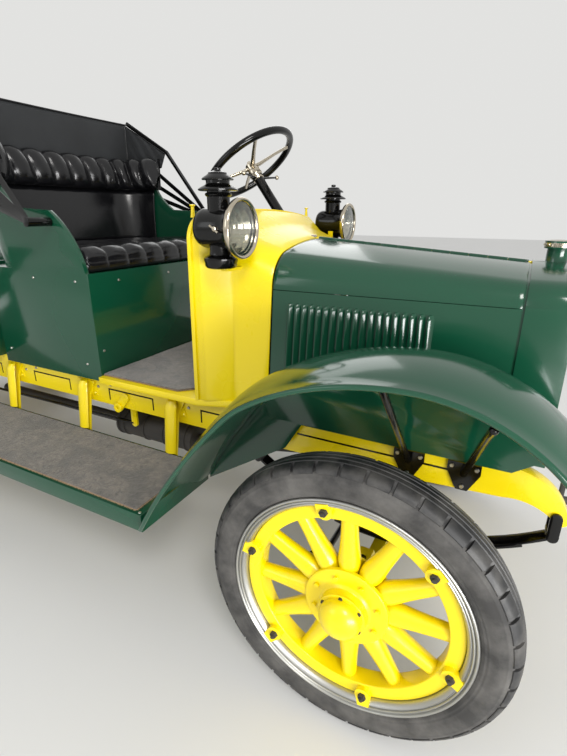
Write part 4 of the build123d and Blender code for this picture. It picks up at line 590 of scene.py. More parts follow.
def ring(centre, axis, radius, thick, steps=64, sides=14):
    """A closed round ring."""
    section = [
        (radius + thick * cos(2 * pi * k / sides), thick * sin(2 * pi * k / sides)) for k in range(sides)
    ]
    return lathe(section, centre, axis, steps)


def block(low, high):
    """A closed block between two corners."""
    x0, y0, z0 = low
    x1, y1, z1 = high
    points = [Vector(p) for p in (
        (x0, y0, z0), (x1, y0, z0), (x1, y1, z0), (x0, y1, z0), (x0, y0, z1), (x1, y0, z1), (x1, y1, z1),
        (x0, y1, z1),
    )]
    return points, [(0, 3, 2, 1), (4, 5, 6, 7), (0, 1, 5, 4), (1, 2, 6, 5), (2, 3, 7, 6), (3, 0, 4, 7)]


def prism(outline, offset):
    """A closed slab from an outline of points and the vector to its far face."""
    count = len(outline)
    points = [Vector(p) for p in outline] + [Vector(p) + Vector(offset) for p in outline]
    faces = [tuple(reversed(range(count))), tuple(range(count, 2 * count))]
    faces.extend((i, (i + 1) % count, count + (i + 1) % count, count + i) for i in range(count))
    return points, faces


def shell(rows, thickness):
    """A closed sheet from rows of points, given its thickness along its own normals."""
    across, along = len(rows), len(rows[0])

    def normal(i, k):
        """Direction out of the sheet at one point."""
        u = rows[min(i + 1, across - 1)][k] - rows[max(i - 1, 0)][k]
        v = rows[i][min(k + 1, along - 1)] - rows[i][max(k - 1, 0)]
        return u.cross(v).normalized()

    top = [rows[i][k] for i in range(across) for k in range(along)]
    low = [rows[i][k] - normal(i, k) * thickness for i in range(across) for k in range(along)]
    count = across * along
    faces = []
    for i in range(across - 1):
        for k in range(along - 1):
            a, b, c, d = i * along + k, (i + 1) * along + k, (i + 1) * along + k + 1, i * along + k + 1
            faces.append((a, b, c, d))
            faces.append((count + d, count + c, count + b, count + a))
    edge = [i * along for i in range(across)] + [(across - 1) * along + k for k in range(1, along)]
    edge += [i * along + along - 1 for i in range(across - 2, -1, -1)] + list(range(along - 2, 0, -1))
    for i, a in enumerate(edge):
        b = edge[(i + 1) % len(edge)]
        faces.append((a, count + a, count + b, b))
    return top + low, faces


def belts(count, wide):
    """Faces of a round skin whose points lie in closed loops, one loop after another."""
    faces = []
    for i in range(count - 1):
        for k in range(wide):
            m = (k + 1) % wide
            faces.append((i * wide + k, i * wide + m, (i + 1) * wide + m, (i + 1) * wide + k))
    return faces


def closed_rows(rows):
    """A closed skin from rows that are themselves closed loops, each end drawn to its middle."""
    count, wide = len(rows), len(rows[0])
    points = [p for row in rows for p in row]
    faces = belts(count, wide)
    for i in (0, count - 1):
        centre = len(points)
        points.append(sum(rows[i], Vector()) / wide)
        faces.extend((i * wide + k, i * wide + (k + 1) % wide, centre) for k in range(wide))
    return points, faces


def mirrored(part, side):
    """The part as it is for the left, or mirrored to the right."""
    points, faces = part
    return [Vector((p.x, p.y * side, p.z)) for p in points], faces


# Geometry Nodes trees
def start_tree(name, sockets):
    """A geometry tree with its geometry sockets and named inputs."""
    tree = bpy.data.node_groups.new(name, "GeometryNodeTree")
    tree.interface.new_socket("Geometry", in_out="INPUT", socket_type="NodeSocketGeometry")
    for socket_name, kind, default in sockets:
        socket = tree.interface.new_socket(socket_name, in_out="INPUT", socket_type=kind)
        if default is not None:
            socket.default_value = default
    tree.interface.new_socket("Geometry", in_out="OUTPUT", socket_type="NodeSocketGeometry")
    return tree, add(tree, "NodeGroupInput").outputs


def close_tree(tree, geometry, finish):
    """Realize the instances, set the material and end the tree."""
    real = add(tree, "GeometryNodeRealizeInstances", {"Geometry": geometry})
    merged = add(
        tree, "GeometryNodeMergeByDistance", {"Geometry": real.outputs["Geometry"], "Distance": MERGE},
    )
    coated = add(
        tree, "GeometryNodeSetMaterial", {"Geometry": merged.outputs["Geometry"], "Material": finish},
    )
    add(tree, "NodeGroupOutput", {"Geometry": coated.outputs["Geometry"]})
    return tree


def ring_tree():
    """Repeats the given mesh about an axis through a centre."""
    tree, given = start_tree(
        "repeat_around_axle",
        (
            ("Count", "NodeSocketInt", 12), ("Phase", "NodeSocketFloat", 0.0),
            ("Centre", "NodeSocketVector", None), ("Material", "NodeSocketMaterial", None),
        ),
    )
    spots = add(tree, "GeometryNodePoints", {"Count": given["Count"], "Position": given["Centre"]})
    index = add(tree, "GeometryNodeInputIndex")
    step = add(tree, "ShaderNodeMath", {0: 2 * pi, 1: given["Count"]}, operation="DIVIDE")
    turn = add(
        tree, "ShaderNodeMath", {0: index.outputs[0], 1: step.outputs[0], 2: given["Phase"]},
        operation="MULTIPLY_ADD",
    )
    spin = add(tree, "ShaderNodeCombineXYZ", {"Y": turn.outputs[0]})
    copies = add(
        tree, "GeometryNodeInstanceOnPoints",
        {"Points": spots.outputs[0], "Instance": given["Geometry"], "Rotation": spin.outputs[0]},
    )
    return close_tree(tree, copies.outputs["Instances"], given["Material"])


def row_tree():
    """Repeats the given mesh in a straight row."""
    tree, given = start_tree(
        "repeat_in_row",
        (
            ("Count", "NodeSocketInt", 5), ("Step", "NodeSocketVector", None),
            ("Material", "NodeSocketMaterial", None),
        ),
    )
    spots = add(tree, "GeometryNodePoints", {"Count": given["Count"]})
    index = add(tree, "GeometryNodeInputIndex")
    shift = add(
        tree, "ShaderNodeVectorMath", {0: given["Step"], "Scale": index.outputs[0]}, operation="SCALE",
    )
    placed = add(
        tree, "GeometryNodeSetPosition", {"Geometry": spots.outputs[0], "Position": shift.outputs[0]},
    )
    copies = add(
        tree, "GeometryNodeInstanceOnPoints", {"Points": placed.outputs[0], "Instance": given["Geometry"]}
    )
    return close_tree(tree, copies.outputs["Instances"], given["Material"])


def stud_tree():
    """Sets a round or six-sided head on each point, facing along the point's facing attribute."""
    tree, given = start_tree(
        "heads_on_points",
        (
            ("Radius", "NodeSocketFloat", 0.006), ("Height", "NodeSocketFloat", 0.003),
            ("Sides", "NodeSocketInt", 12), ("Crown", "NodeSocketFloat", 0.6),
            ("Material", "NodeSocketMaterial", None),
        ),
    )
    waist = add(tree, "ShaderNodeMath", {0: given["Radius"], 1: given["Crown"]}, operation="MULTIPLY")
    head = add(
        tree, "GeometryNodeMeshCone",
        {
            "Vertices": given["Sides"], "Side Segments": 1, "Radius Top": waist.outputs[0],
            "Radius Bottom": given["Radius"], "Depth": given["Height"],
        },
    )
    facing = add(tree, "GeometryNodeInputNamedAttribute", {"Name": "facing"}, data_type="FLOAT_VECTOR")
    turned = add(tree, "FunctionNodeAlignRotationToVector", {"Vector": facing.outputs[0]}, axis="Z")
    spots = add(tree, "GeometryNodeMeshToPoints", {"Mesh": given["Geometry"]})
    copies = add(
        tree, "GeometryNodeInstanceOnPoints",
        {"Points": spots.outputs[0], "Instance": head.outputs["Mesh"], "Rotation": turned.outputs[0]},
    )
    return close_tree(tree, copies.outputs["Instances"], given["Material"])


def edge_tree():
    """Keeps a CAD piece's faces smooth and its edges above an angle sharp."""
    tree, given = start_tree("smooth_up_to_angle", (("Angle", "NodeSocketFloat", radians(30)),))
    bend = add(tree, "GeometryNodeInputMeshEdgeAngle")
    sharp = add(
        tree, "FunctionNodeCompare", {0: bend.outputs["Unsigned Angle"], 1: given["Angle"]},
        operation="GREATER_THAN",
    )
    soft = add(
        tree, "GeometryNodeSetShadeSmooth", {"Geometry": given["Geometry"], "Shade Smooth": True},
        domain="FACE",
    )
    split = add(
        tree, "GeometryNodeSetShadeSmooth",
        {"Geometry": soft.outputs[0], "Selection": sharp.outputs[0], "Shade Smooth": False}, domain="EDGE",
    )
    add(tree, "NodeGroupOutput", {"Geometry": split.outputs[0]})
    return tree


def grow(mesh, tree, values):
    """The mesh that a tree makes from a mesh, with the tree's named inputs set first."""
    carrier = bpy.data.objects.new("carrier", mesh)
    bpy.context.scene.collection.objects.link(carrier)
    modifier = carrier.modifiers.new(tree.name, "NODES")
    modifier.node_group = tree
    for socket in tree.interface.items_tree:
        if socket.item_type == "SOCKET" and socket.in_out == "INPUT" and socket.name in values:
            modifier[socket.identifier] = values[socket.name]
    carrier.update_tag()
    graph = bpy.context.evaluated_depsgraph_get()
    result = bpy.data.meshes.new_from_object(carrier.evaluated_get(graph), depsgraph=graph)
    bpy.data.objects.remove(carrier)
    return result


trees = {}


def tree_named(maker):
    """A tree, made on first use."""
    if maker.__name__ not in trees:
        trees[maker.__name__] = maker()
    return trees[maker.__name__]


def around(mesh, count, phase, centre, finish):
    """The mesh repeated about the Y direction through a centre."""
    values = {"Count": count, "Phase": phase, "Centre": centre, "Material": material(finish)}
    return clean(grow(mesh, tree_named(ring_tree), values))


def in_row(mesh, count, step, finish):
    """The mesh repeated in a row."""
    values = {"Count": count, "Step": step, "Material": material(finish)}
    return clean(grow(mesh, tree_named(row_tree), values))


def heads(spots, radius, height, sides, finish, crown=0.6):
    """One mesh of rivet or bolt heads; spots are pairs of place and facing."""
    mesh = bpy.data.meshes.new("spots")
    mesh.from_pydata([tuple(place) for place, _ in spots], [], [])
    facing = mesh.attributes.new("facing", "FLOAT_VECTOR", "POINT")
    facing.data.foreach_set("vector", [v for _, way in spots for v in Vector(way).normalized()])
    values = {
        "Radius": radius, "Height": height, "Sides": sides, "Crown": crown, "Material": material(finish),
    }
    return clean(grow(mesh, tree_named(stud_tree), values), 40)


def on_sides(places, y):
    """Spots at (x, z) places on both sides of the truck, facing outwards."""
    return [(Vector((x, side * y, z)), (0, side, 0)) for side in (1, -1) for x, z in places]


def on_circle(centre, side, count, phase, reach, out):
    """Spots around a wheel's axle, facing outwards; the phase is in radians."""
    spots = []
    for i in range(count):
        turn = phase + 2 * pi * i / count
        spots.append((centre + Vector((reach * cos(turn), side * out, reach * sin(turn))), (0, side, 0)))
    return spots


def both(part):
    """The part on the left and its mirror image on the right."""
    return [mirrored(part, side) for side in (1, -1)]


def joined(name, meshes, sharp=32):
    """One mesh from several."""
    shape = bmesh.new()
    for mesh in meshes:
        shape.from_mesh(mesh)
    result = bpy.data.meshes.new(name)
    shape.to_mesh(result)
    shape.free()
    return clean(result, sharp)


class TRUCK_OT_stage(bpy.types.Operator):
    """Sets the floor, the soft lights, the pale surroundings and the camera at the photograph's angle"""

    bl_idname = "truck.stage"
    bl_label = "Stage"

    def execute(self, context):
        settings = context.scene.truck_stage
        scene = context.scene
        scene.view_settings.view_transform = "Standard"
        half = 30.0
        mesh = bpy.data.meshes.new("floor")
        mesh.from_pydata(
            [(-half, -half, 0), (half, -half, 0), (half, half, 0), (-half, half, 0)], [], [(0, 1, 2, 3)],
        )
        floor = bpy.data.objects.new("floor", mesh)
        scene.collection.objects.link(floor)
        mesh.materials.append(self.floor_material(settings.floor))
        self.surround(scene, settings)
        # Name, place, aim, size, share of the main light's power and colour
        for name, place, aim, size, share, colour in (
            ("key_light", (4.6, -4.4, 5.6), (0.9, -0.4, 0.8), (2.0, 2.0), 1.0, (1.0, 0.98, 0.95)),
            ("fill_light", (-2.6, -6.4, 3.6), (0.2, 0.0, 0.8), (3.0, 3.0), 0.25, (0.95, 0.98, 1.0)),
            ("back_light", (-2.0, 5.4, 4.6), (0.4, 0.0, 0.9), (3.6, 3.6), 0.3, (1.0, 1.0, 1.0)),
            ("door_light", (5.2, -3.1, 0.64), (1.2, -0.3, 0.9), (2.9, 1.2), 0.95, (1.0, 1.0, 1.0)),
        ):
            self.lamp(name, place, aim, size, settings.key * share, colour)
        self.camera(scene)
        return {"FINISHED"}

    def floor_material(self, colour):
        """Pale painted screed, matt, with a faint trowel mottle."""
        made, tree, place = start_material("pale_painted_screed")
        tone = mix(tree, cloud(tree, place, 1.3, Detail=5.0), colour, [c * 0.95 for c in colour])
        return close_material(made, tree, tone, 0.7)

    def surround(self, scene, settings):
        """Soft even sky for light, and a paler one where the camera and the glossy finishes look."""
        world = bpy.data.worlds.new("soft_surroundings")
        scene.world = world
        world.use_nodes = True
        tree = world.node_tree
        tree.nodes.clear()
        path = add(tree, "ShaderNodeLightPath")
        seen = combine(tree, path.outputs["Is Camera Ray"], path.outputs["Is Glossy Ray"], "MAXIMUM")
        seen = combine(tree, seen, path.outputs["Is Transmission Ray"], "MAXIMUM")
        light = add(
            tree, "ShaderNodeBackground", {"Color": (1.0, 1.0, 1.0, 1.0), "Strength": settings.ambient},
        )
        pale = add(tree, "ShaderNodeBackground", {"Color": rgba(linear("#EDEDEB")), "Strength": 0.9})
        sky = {"Fac": seen, 1: light.outputs["Background"], 2: pale.outputs["Background"]}
        shown = add(tree, "ShaderNodeMixShader", sky)
        add(tree, "ShaderNodeOutputWorld", {"Surface": shown.outputs[0]})

    def lamp(self, name, place, aim, size, power, colour):
        """One flat soft light that faces a point."""
        data = bpy.data.lights.new(name, "AREA")
        data.shape = "RECTANGLE"
        data.size, data.size_y = size
        data.energy = power
        data.color = colour
        made = bpy.data.objects.new(name, data)
        bpy.context.scene.collection.objects.link(made)
        made.location = place
        made.rotation_euler = (Vector(aim) - Vector(place)).to_track_quat("-Z", "Y").to_euler()

    def camera(self, scene):
        """Camera fitted to the round front wheel and the rail, its focal length in pixels."""
        place = Vector((FRONT_X + 0.28, -1.657, 1.43))
        heading, dip, lean, focal = radians(27.32), radians(20.01), radians(0.28), 453.1
        forward = Vector((-sin(heading) * cos(dip), cos(heading) * cos(dip), -sin(dip)))
        right = Vector((cos(heading), sin(heading), 0))
        above = right.cross(forward)
        right, above = right * cos(lean) + above * sin(lean), above * cos(lean) - right * sin(lean)
        data = bpy.data.cameras.new("photo_camera")
        data.sensor_width = 36
        data.lens = 36 * focal / max(PICTURE)
        data.clip_start = 0.05
        made = bpy.data.objects.new("photo_camera", data)
        scene.collection.objects.link(made)
        axes = Matrix((right, above, -forward)).transposed().to_4x4()
        axes.translation = place
        made.matrix_world = axes
        scene.camera = made


class TRUCK_OT_cad_finish(bpy.types.Operator):
    """Gives the CAD pieces that stay in view their finishes, soft edges and smooth faces"""

    bl_idname = "truck.cad_finish"
    bl_label = "CAD finishes"

    def execute(self, context):
        for finish, nodes in CAD_FINISH.items():
            for node in nodes:
                target = frame["nodes"][node]
                for slot in target.material_slots:
                    slot.material = material(finish)
                self.soften(target, 0.0012)
        return {"FINISHED"}

    def soften(self, target, width):
        """Live modifiers that round a CAD piece's edges and shade its faces smooth."""
        merge = target.modifiers.new("merge", "WELD")
        merge.merge_threshold = MERGE
        bevel = target.modifiers.new("edges", "BEVEL")
        bevel.width = width
        bevel.segments = 2
        bevel.limit_method = "ANGLE"
        bevel.angle_limit = radians(38)
        bevel.use_clamp_overlap = True
        smooth = target.modifiers.new("smooth", "NODES")
        smooth.node_group = tree_named(edge_tree)


class TRUCK_OT_tyres(bpy.types.Operator):
    """Makes the four tyres from one tread segment repeated about the axle"""

    bl_idname = "truck.tyres"
    bl_label = "Tyres"

    def execute(self, context):
        sizes = context.scene.truck_wheels
        segment = self.segment(sizes.notches, sizes.notch_depth)
        for end in ENDS:
            for name, _ in SIDES:
                node = f"tyre_{end}_{name}"
                centre = middle(node)
                mesh = around(segment, sizes.notches, 0.0, (centre.x, centre.y, centre.z), "tread")
                piece(f"tread_{end}_{name}", mesh, "tread", BODY_OF[node], (node,))
                piece(f"tyre_walls_{end}_{name}", self.walls(centre), "tyre", BODY_OF[node])
        bpy.data.meshes.remove(segment)
        return {"FINISHED"}

    def outline(self):
        """Half section as (radius, distance from the middle plane), from the crown to the bead."""
        return (
            (0.432, 0.0), (0.4318, 0.006), (0.4296, 0.0075), (0.4296, 0.0095), (0.4314, 0.011),
            (0.43, 0.022), (0.427, 0.0235), (0.427, 0.0255), (0.429, 0.027), (0.4262, 0.036),
            (0.4205, 0.046), (0.415, 0.0512), (0.4095, 0.054), (0.4078, 0.0538), (0.407, 0.052),
        )

    def wall_line(self):
        """The wall below the tread, with its fine ribs, down to the bead."""
        return (
            (0.411, 0.049), (0.4072, 0.0522), (0.404, 0.054), (0.399, 0.056), (0.3975, 0.0572),
            (0.3955, 0.057), (0.39, 0.0582), (0.382, 0.059), (0.374, 0.0588), (0.366, 0.0576),
            (0.359, 0.0558), (0.357, 0.056), (0.355, 0.0545), (0.35, 0.0534), (0.348, 0.0536),
            (0.346, 0.0518), (0.341, 0.05), (0.3386, 0.047), (0.335, 0.044),
        )

    def walls(self, centre):
        """Both walls, turned about the axle, closed behind the tread and inside the rim."""
        half = self.wall_line()
        profile = [(r, -d) for r, d in reversed(half)] + list(half) + [(0.329, 0.04), (0.329, -0.04)]
        return build("walls", [lathe(profile, centre, (0, 1, 0), 160)], 60)

    def segment(self, count, depth):
        """One tread block long: a rib down the middle and a notch in each shoulder."""
        half = self.outline()
        profile = [(r, -d) for r, d in reversed(half[1:])] + list(half)
        pitch = 2 * pi / count
        shares = (0.0, 0.42, 0.445, 0.545, 0.57, 1.0)
        points, faces = [], []
        for step, share in enumerate(shares):
            turn = pitch * share
            cut = depth if step in (2, 3) else 0.0
            for r, d in profile:
                shoulder = 0.03 < abs(d) < 0.0545 and r > 0.4065
                groove = cut if shoulder else 0.0
                reach = r - groove
                across = d - (0.0025 if d > 0 else -0.0025) * (1 if groove else 0)
                points.append(Vector((reach * sin(turn), across, reach * cos(turn))))
        wide = len(profile)
        for i in range(len(shares) - 1):
            for k in range(wide - 1):
                faces.append((i * wide + k, i * wide + k + 1, (i + 1) * wide + k + 1, (i + 1) * wide + k))
        # Inside of the section, hidden by the rim, closes the segment's ring
        first = len(points)
        inner = (0.404, 0.048)
        for share in shares:
            turn = pitch * share
            for d in (-inner[1], inner[1]):
                points.append(Vector((inner[0] * sin(turn), d, inner[0] * cos(turn))))
        for i in range(len(shares) - 1):
            a, b = first + 2 * i, first + 2 * i + 2
            faces.append((a, b, b + 1, a + 1))
            faces.append((a, i * wide, (i + 1) * wide, b))
            faces.append((a + 1, b + 1, (i + 1) * wide + wide - 1, i * wide + wide - 1))
        mesh = bpy.data.meshes.new("tread_segment")
        mesh.from_pydata([tuple(p) for p in points], [], faces)
        return mesh


class TRUCK_OT_wheels(bpy.types.Operator):
    """Makes the wooden wheels: hub, turned spokes, felloe, clamps with nuts and the steel rim"""

    bl_idname = "truck.wheels"
    bl_label = "Wheels"
    lug_phase = 163.6

    def execute(self, context):
        sizes = context.scene.truck_wheels
        for end in ENDS:
            for name, side in SIDES:
                node = f"wheel_{end}_{name}"
                centre = Vector((middle(node).x, side * TRACK_HALF, TYRE_R))
                body = BODY_OF[node]
                wood = self.wood(centre, side, end == "rear", sizes)
                piece(f"wood_{end}_{name}", wood, "yellow", body, (node,))
                piece(f"rim_{end}_{name}", self.rim(centre, side), "rim", body)
                piece(f"nuts_{end}_{name}", self.nuts(centre, side, sizes), "iron", body)
        return {"FINISHED"}

    def wood(self, centre, side, drum, sizes):
        """Hub, spokes, felloe and clamps of one wheel, with the brake drum at the rear."""
        phase = radians(3)
        hub = [
            (0.0, -0.07), (0.058, -0.07), (0.06, -0.04), (0.118, -0.038), (0.118, -0.031), (0.0, -0.031),
        ]
        face = [
            (0.0, 0.024), (0.118, 0.024), (0.118, 0.036), (0.112, 0.038), (0.074, 0.038), (0.066, 0.044),
            (0.064, 0.062), (0.066, 0.064), (0.066, 0.07), (0.0, 0.07),
        ]
        dome = [(0.0, 0.064), (0.054, 0.064), (0.0555, 0.07)]
        for i in range(21):
            turn = radians(-12 + 102 * i / 20)
            dome.append((0.058 * cos(turn), 0.078 + 0.04 * sin(turn)))
        felloe = [
            (0.267, -0.024), (0.267, 0.031), (0.307, 0.031), (0.307, -0.016), (0.3135, -0.016),
            (0.3135, -0.024),
        ]
        out = (0, side, 0)
        parts = [
            lathe(rounded(hub, 0.003), centre, out, 72),
            lathe(rounded(face, 0.002), centre, out, 72),
            lathe(dome, centre, out, 48),
            lathe(rounded(felloe, 0.005, 4), centre, out, 120),
        ]
        if drum:
            shell_line = [
                (0.055, -0.035), (0.175, -0.035), (0.175, -0.091), (0.17, -0.091), (0.17, -0.04),
                (0.055, -0.04),
            ]
            parts.append(lathe(rounded(shell_line, 0.0015), centre, out, 96))
        solid = build("hub_and_felloe", parts)
        # A spoke is an ellipse that swells towards the hub until it meets its neighbours
        table = (
            (0.062, 0.016, 0.029), (0.09, 0.0238, 0.0302), (0.11, 0.0292, 0.0304), (0.128, 0.0318, 0.03),
            (0.15, 0.0298, 0.0282), (0.18, 0.0262, 0.0262), (0.215, 0.0238, 0.024),
            (0.25, 0.0226, 0.0226), (0.272, 0.0222, 0.022),
        )
        points = []
        sides = 20
        for reach, wide, deep in table:
            for k in range(sides):
                turn = 2 * pi * k / sides
                points.append(Vector((reach, deep * cos(turn), wide * sin(turn))))
        faces = belts(len(table), sides)
        faces += [tuple(range(sides)), tuple((len(table) - 1) * sides + k for k in range(sides))]
        spoke = build("spoke", [(points, faces)])
        spokes = around(spoke, sizes.spokes, -phase, tuple(centre), "yellow")
        lug = build("lug", [self.lug(side)], 30)
        lugs = around(lug, sizes.lugs, -radians(self.lug_phase), tuple(centre), "yellow")
        bolts = on_circle(centre, side, 8, radians(18), 0.093, 0.0405)
        flange_bolts = heads(bolts, 0.0078, 0.005, 6, "yellow", 0.86)
        return joined("wood", [solid, spokes, lugs, flange_bolts], 34)

    def lug(self, side):
        """A clamp on the felloe's face, round at its inner end, with a lip bent on to the rim."""
        outline = []
        for i in range(9):
            turn = radians(100 + 160 * i / 8)
            outline.append((0.294 + 0.0225 * cos(turn), 0.0225 * sin(turn)))
        outline += [(0.306, -0.021), (0.3215, -0.0165), (0.3215, 0.0165), (0.306, 0.021)]
        low = [Vector((x, side * 0.0305, z)) for x, z in outline]
        points, faces = prism(low, (0, side * 0.014, 0))
        count = len(outline)
        for i in range(count):
            x, z = outline[i]
            if x > 0.31:
                points[count + i] = Vector((x, side * 0.053, z))
        return points, faces

    def rim(self, centre, side):
        """Steel rim with a rolled lip, a hollow flank and two fine beads on each face."""
        half = [
            (0.325, 0.0), (0.325, 0.036), (0.33, 0.044), (0.336, 0.0445), (0.338, 0.047), (0.3384, 0.051),
            (0.3368, 0.0545), (0.3345, 0.0558), (0.3322, 0.055), (0.3308, 0.0525), (0.33, 0.0478),
            (0.329, 0.0472), (0.3278, 0.05), (0.3262, 0.0522), (0.324, 0.0524), (0.3226, 0.0506),
            (0.322, 0.0462), (0.3208, 0.0456), (0.3196, 0.0478), (0.3174, 0.049), (0.3145, 0.0472),
            (0.3112, 0.043), (0.3088, 0.039), (0.3076, 0.035), (0.3076, 0.023), (0.314, 0.02),
            (0.314, 0.0),
        ]
        profile = half + [(r, -d) for r, d in reversed(half[1:-1])]
        return build("rim", [lathe(profile, centre, (0, side, 0), 144)], 50)

    def nuts(self, centre, side, sizes):
        """Nuts on the clamps, small nuts around the hub cap, and the ends of the clamps' bolts."""
        meshes = []
        # Count, phase, distance from the axle and from the middle plane, then radius, height, sides and crown
        for count, phase, reach, out, *head, crown in (
            (sizes.lugs, self.lug_phase, 0.295, 0.0445, 0.0125, 0.0095, 6, 0.86),
            (6, 33.0, 0.0578, 0.07, 0.0058, 0.005, 6, 0.86),
            (sizes.lugs, self.lug_phase, 0.295, 0.053, 0.0062, 0.0075, 12, 0.85),
        ):
            spots = on_circle(centre, side, count, radians(phase), reach, out)
            meshes.append(heads(spots, *head, "steel", crown))
        return joined("nuts", meshes, 30)


class TRUCK_OT_hood(bpy.types.Operator):
    """Makes the hood's tops and louvred sides, its hinge knuckles and catches"""

    bl_idname = "truck.hood"
    bl_label = "Hood"

    def execute(self, context):
        sizes = context.scene.truck_hood
        for name, side in SIDES:
            top, panel = f"hood_top_{name}", f"hood_side_{name}"
            piece(f"hood_skin_{name}", self.top(side), "green", BODY_OF[top], (top,))
            piece(f"hood_louvres_{name}", self.panel(side, sizes), "green", BODY_OF[panel], (panel,))
            # Each louvre's mouth gets a dark slip of painted shade
            piece(f"louvre_gaps_{name}", self.gaps(side, sizes), "dark", BODY_OF[panel])
            piece(f"hood_catches_{name}", self.catches(side), "steel", BODY_OF[panel])
        piece("hood_hinge", self.hinge(), "green", BODY_OF["cowl"])
        profile = rounded([(0.0, -0.01), (0.008, -0.01), (0.008, 0.01), (0.0, 0.01)], 0.003)
        knob = lathe(profile, (HOOD_REAR_X - 0.018, 0, 1.345), (1, 0, -0.07), 24)
        piece("hinge_knob", build("knob", [knob]), "nickel", BODY_OF["cowl"])
        piece("hood_ledge", self.ledge(), "green", BODY_OF["radiator_shell"])
        return {"FINISHED"}

    def arc(self, x):
        """Half width, crown height and shoulder radius at a distance along the hood."""
        share = (x - HOOD_REAR_X) / (HOOD_FRONT_X - HOOD_REAR_X)
        return HOOD_HALF - HOOD_NARROWS * share, HOOD_CROWN_Z - HOOD_FALLS * share, 0.12 - 0.05 * share

    def outline(self, x, inset, steps=26):
        """Points from near the crown to the shoulder for the left half."""
        half, crown, shoulder_r = self.arc(x)
        shoulder_z = HOOD_SHOULDER_Z
        centre_y, rise = half - shoulder_r, crown - shoulder_z
        crown_r = (centre_y**2 + rise**2 - shoulder_r**2) / (2 * (rise - shoulder_r))
        crown_centre_z = crown - crown_r
        lean = atan2(centre_y, shoulder_z - crown_centre_z)
        points = []
        start = 0.008 / crown_r
        for i in range(steps + 1):
            turn = start + (lean - start) * i / steps
            points.append((sin(turn) * (crown_r - inset), crown_centre_z + cos(turn) * (crown_r - inset)))
        last = radians(89.5)
        for i in range(1, 13):
            turn = lean + (last - lean) * i / 12
            reach = shoulder_r - inset
            points.append((centre_y + sin(turn) * reach, shoulder_z + cos(turn) * reach))
        return points

    def top(self, side):
        """Half of the hood's top, its ends turned in a little."""
        length = HOOD_FRONT_X - HOOD_REAR_X
        stations = [HOOD_REAR_X + length * s for s in (0.0, 0.003, 0.02, 0.25, 0.5, 0.75, 0.98, 0.997, 1.0)]
        rows = []
        for i, x in enumerate(stations):
            inset = 0.0016 if i in (0, len(stations) - 1) else 0.0002
            rows.append([Vector((x, y, z)) for y, z in self.outline(x, inset)])
        if side > 0:
            rows.reverse()
        return build("hood_skin", [mirrored(shell(rows, 0.0022), side)], 40)

    def ledge(self):
        """Ledge of the radiator's shell under the hood's front edge."""
        parts = []
        for side in (1, -1):
            rows = []
            for x in (HOOD_FRONT_X - 0.008, HOOD_FRONT_X + 0.0065):
                line = [Vector((x, y * side, z)) for y, z in self.outline(x, 0.0042)]
                foot = [Vector((x, side * (self.plate_y(x, z) - 0.0042), z)) for z in (1.1, 1.0, 0.9, 0.8)]
                rows.append(line + foot)
            if side > 0:
                rows.reverse()
            parts.append(shell(rows, 0.002))
        return build("ledge", parts, 40)

    def plate_y(self, x, z):
        """Outer face of the left side panel."""
        flare = 0.036 * (HOOD_SHOULDER_Z - z) / 0.406
        return HOOD_HALF - HOOD_NARROWS * (x - HOOD_REAR_X) / HOOD_LENGTH + flare

    def strip(self, stations, heights, lift):
        """Outer and inner skin of part of the panel, open at both ends along the hood."""
        points, faces = [], []
        wide = len(heights)
        for layer in (0.0, -0.0016):
            for i in range(len(stations)):
                for k, z in enumerate(heights):
                    x, out = lift(i, k)
                    points.append(Vector((x, self.plate_y(x, z) + out + layer, z)))
        shift = len(stations) * wide
        for i in range(len(stations) - 1):
            for k in range(wide - 1):
                a, b, c, d = i * wide + k, (i + 1) * wide + k, (i + 1) * wide + k + 1, i * wide + k + 1
                faces.extend(((a, b, c, d), (shift + d, shift + c, shift + b, shift + a)))
            for k in (0, wide - 1):
                a, b = i * wide + k, (i + 1) * wide + k
                faces.append((a, b, shift + b, shift + a))
        return points, faces

    def panel(self, side, sizes):
        """Side panel: one louvre's cell repeated in a row between two plain ends, closed at its edges."""
        low, high = LOUVRE_LOW_Z, LOUVRE_HIGH_Z
        bow = 0.016
        heights = [HOOD_LOW_Z + 0.0008, HOOD_LOW_Z + 0.003, low - 0.012]
        heights += [low + bow - bow * cos(radians(90 * s / 7)) if s else low for s in range(8)]
        heights += [low + 0.05, high - 0.05]
        heights += [high - bow + bow * sin(radians(90 * s / 7)) for s in range(8)]
        heights += [high + 0.012, 1.193, 1.195]
        heights = sorted(set(round(z, 6) for z in heights))
        first = LOUVRE_FIRST_X - sizes.width / 2 - 0.004
        shares = (0.0, 0.05, 0.13, 0.26, 0.42, 0.6, 0.78, 0.92, 1.0)
        crest = (0.0, 0.76, 0.97, 1.0, 0.86, 0.62, 0.38, 0.16, 0.0)
        stations = [first] + [first + 0.004 + sizes.width * s for s in shares] + [first + sizes.pitch]

        def reach(z):
            """How full the louvre is at a height, from 0 past its ends to 1."""
            if z <= low or z >= high:
                return 0.0
            inner = min(z - low, high - z)
            return 1.0 if inner >= bow else (1 - (1 - inner / bow) ** 2) ** 0.5

        def lift(i, k):
            """Place along the hood and height of the louvre at one point of its cell."""
            fullness = reach(heights[k])
            if i in (0, len(stations) - 1):
                return stations[i], 0.0
            middle_x = first + 0.004 + sizes.width * 0.42
            narrow = 0.35 + 0.65 * fullness
            x = middle_x + (stations[i] - middle_x) * narrow
            return x, sizes.rise * crest[i - 1] * fullness

